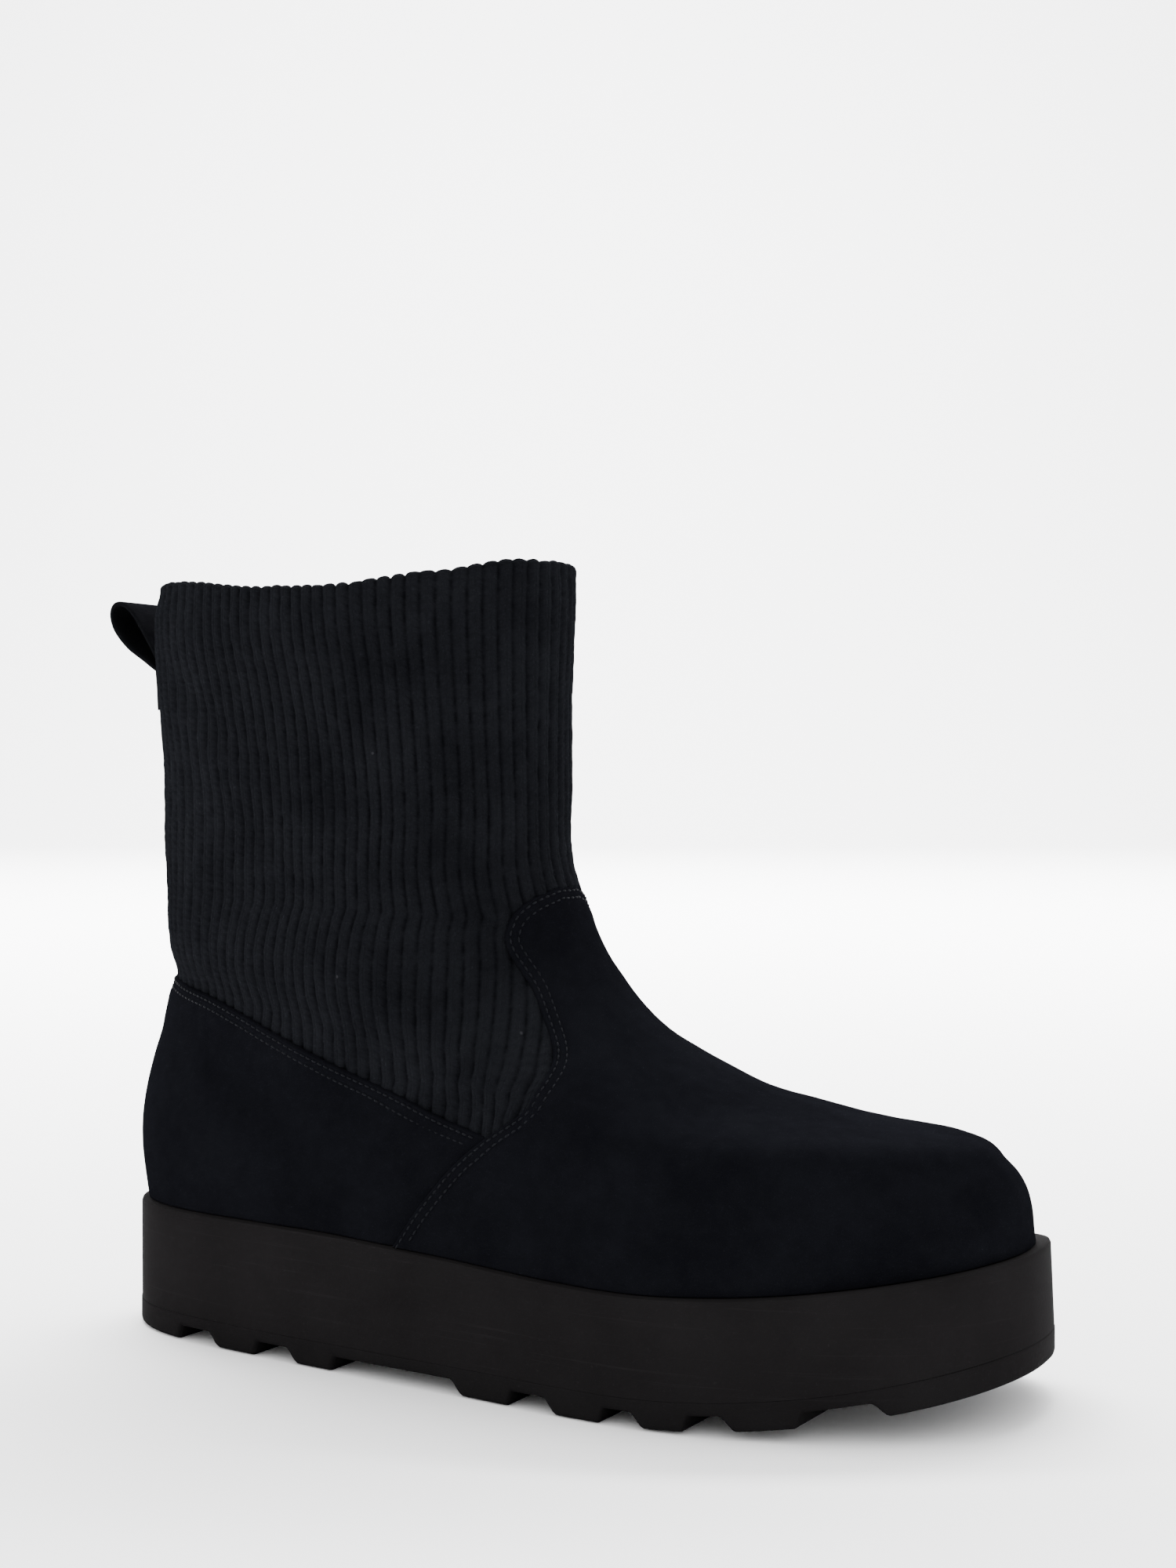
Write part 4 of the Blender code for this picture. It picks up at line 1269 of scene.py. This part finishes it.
def build_floor():
    """Pale floor that curves up far behind into a plain wall."""
    across = np.array([-9.0, 9.0])
    path = [(-6.0, 0.0), (5.0, 0.0)]
    path += [(5.0 + 2.0 * math.sin(a), 2.0 - 2.0 * math.cos(a)) for a in np.linspace(0.1, math.pi / 2, 14)]
    path += [(7.0, 8.0)]
    path = np.array(path)
    c, s = math.cos(CAMERA_TURN), math.sin(CAMERA_TURN)
    points = []
    for out, height in path:
        for side in across:
            x = side * c - out * s
            y = side * s + out * c
            points.append((x + ORIGIN_X, y, height - 0.0001))
    made = bpy.data.materials.new("pale_floor")
    made.use_nodes = True
    shader = made.node_tree.nodes["Principled BSDF"]
    shader.inputs["Base Color"].default_value = (0.90, 0.90, 0.905, 1.0)
    shader.inputs["Roughness"].default_value = 0.9
    shader.inputs["Specular IOR Level"].default_value = 0.1
    return add_mesh("floor", points, grid_faces(len(path), 2), made)


def add_light(name, place, aim, size, power):
    """Square area light aimed at a point."""
    data = bpy.data.lights.new(name, "AREA")
    data.shape = "SQUARE"
    data.size = size
    data.energy = power
    light = bpy.data.objects.new(name, data)
    bpy.context.scene.collection.objects.link(light)
    light.location = place
    away = np.array(place) - np.array(aim)
    flat = math.hypot(away[0], away[1])
    light.rotation_euler = (math.atan2(flat, away[2]), 0.0, math.atan2(away[0], -away[1]))


def add_camera():
    """Level camera, 30 degrees round from the outer side towards the toe."""
    data = bpy.data.cameras.new("camera")
    data.sensor_fit = "AUTO"
    data.sensor_width = 36.0
    data.lens = CAMERA_LENS
    data.clip_start = 0.05
    data.clip_end = 60.0
    camera = bpy.data.objects.new("camera", data)
    bpy.context.scene.collection.objects.link(camera)
    camera.location = CAMERA_PLACE
    camera.rotation_euler = (math.radians(90.0), 0.0, CAMERA_TURN)
    bpy.context.scene.camera = camera


add_camera()
floor = build_floor()

PIECES = (
    (build_tread, "outsole", "sole_rubber"),
    (build_slab, "midsole", "midsole_foam"),
    (build_footbed, "insole", "footbed_cloth"),
    (build_knit, "upper", "rib_knit"),
    (build_lining, None, "footbed_cloth"),
    (build_vamp, "vamp", "suede"),
    (build_counter, "counter", "suede"),
    (build_stitches, None, "suede"),
    (build_tape, "pull_loop", "suede"),
    (build_tape_stitches, None, "suede"),
)
for build, node, slot in PIECES:
    piece = build()
    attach(piece, "root")
    if node is not None:
        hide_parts(node)

world_light = bpy.data.worlds.new("soft_room")
bpy.context.scene.world = world_light
world_light.use_nodes = True
background = world_light.node_tree.nodes["Background"]
background.inputs["Color"].default_value = (1.0, 1.0, 1.0, 1.0)
background.inputs["Strength"].default_value = ROOM_LIGHT

for light in LIGHTS:
    add_light(*light)
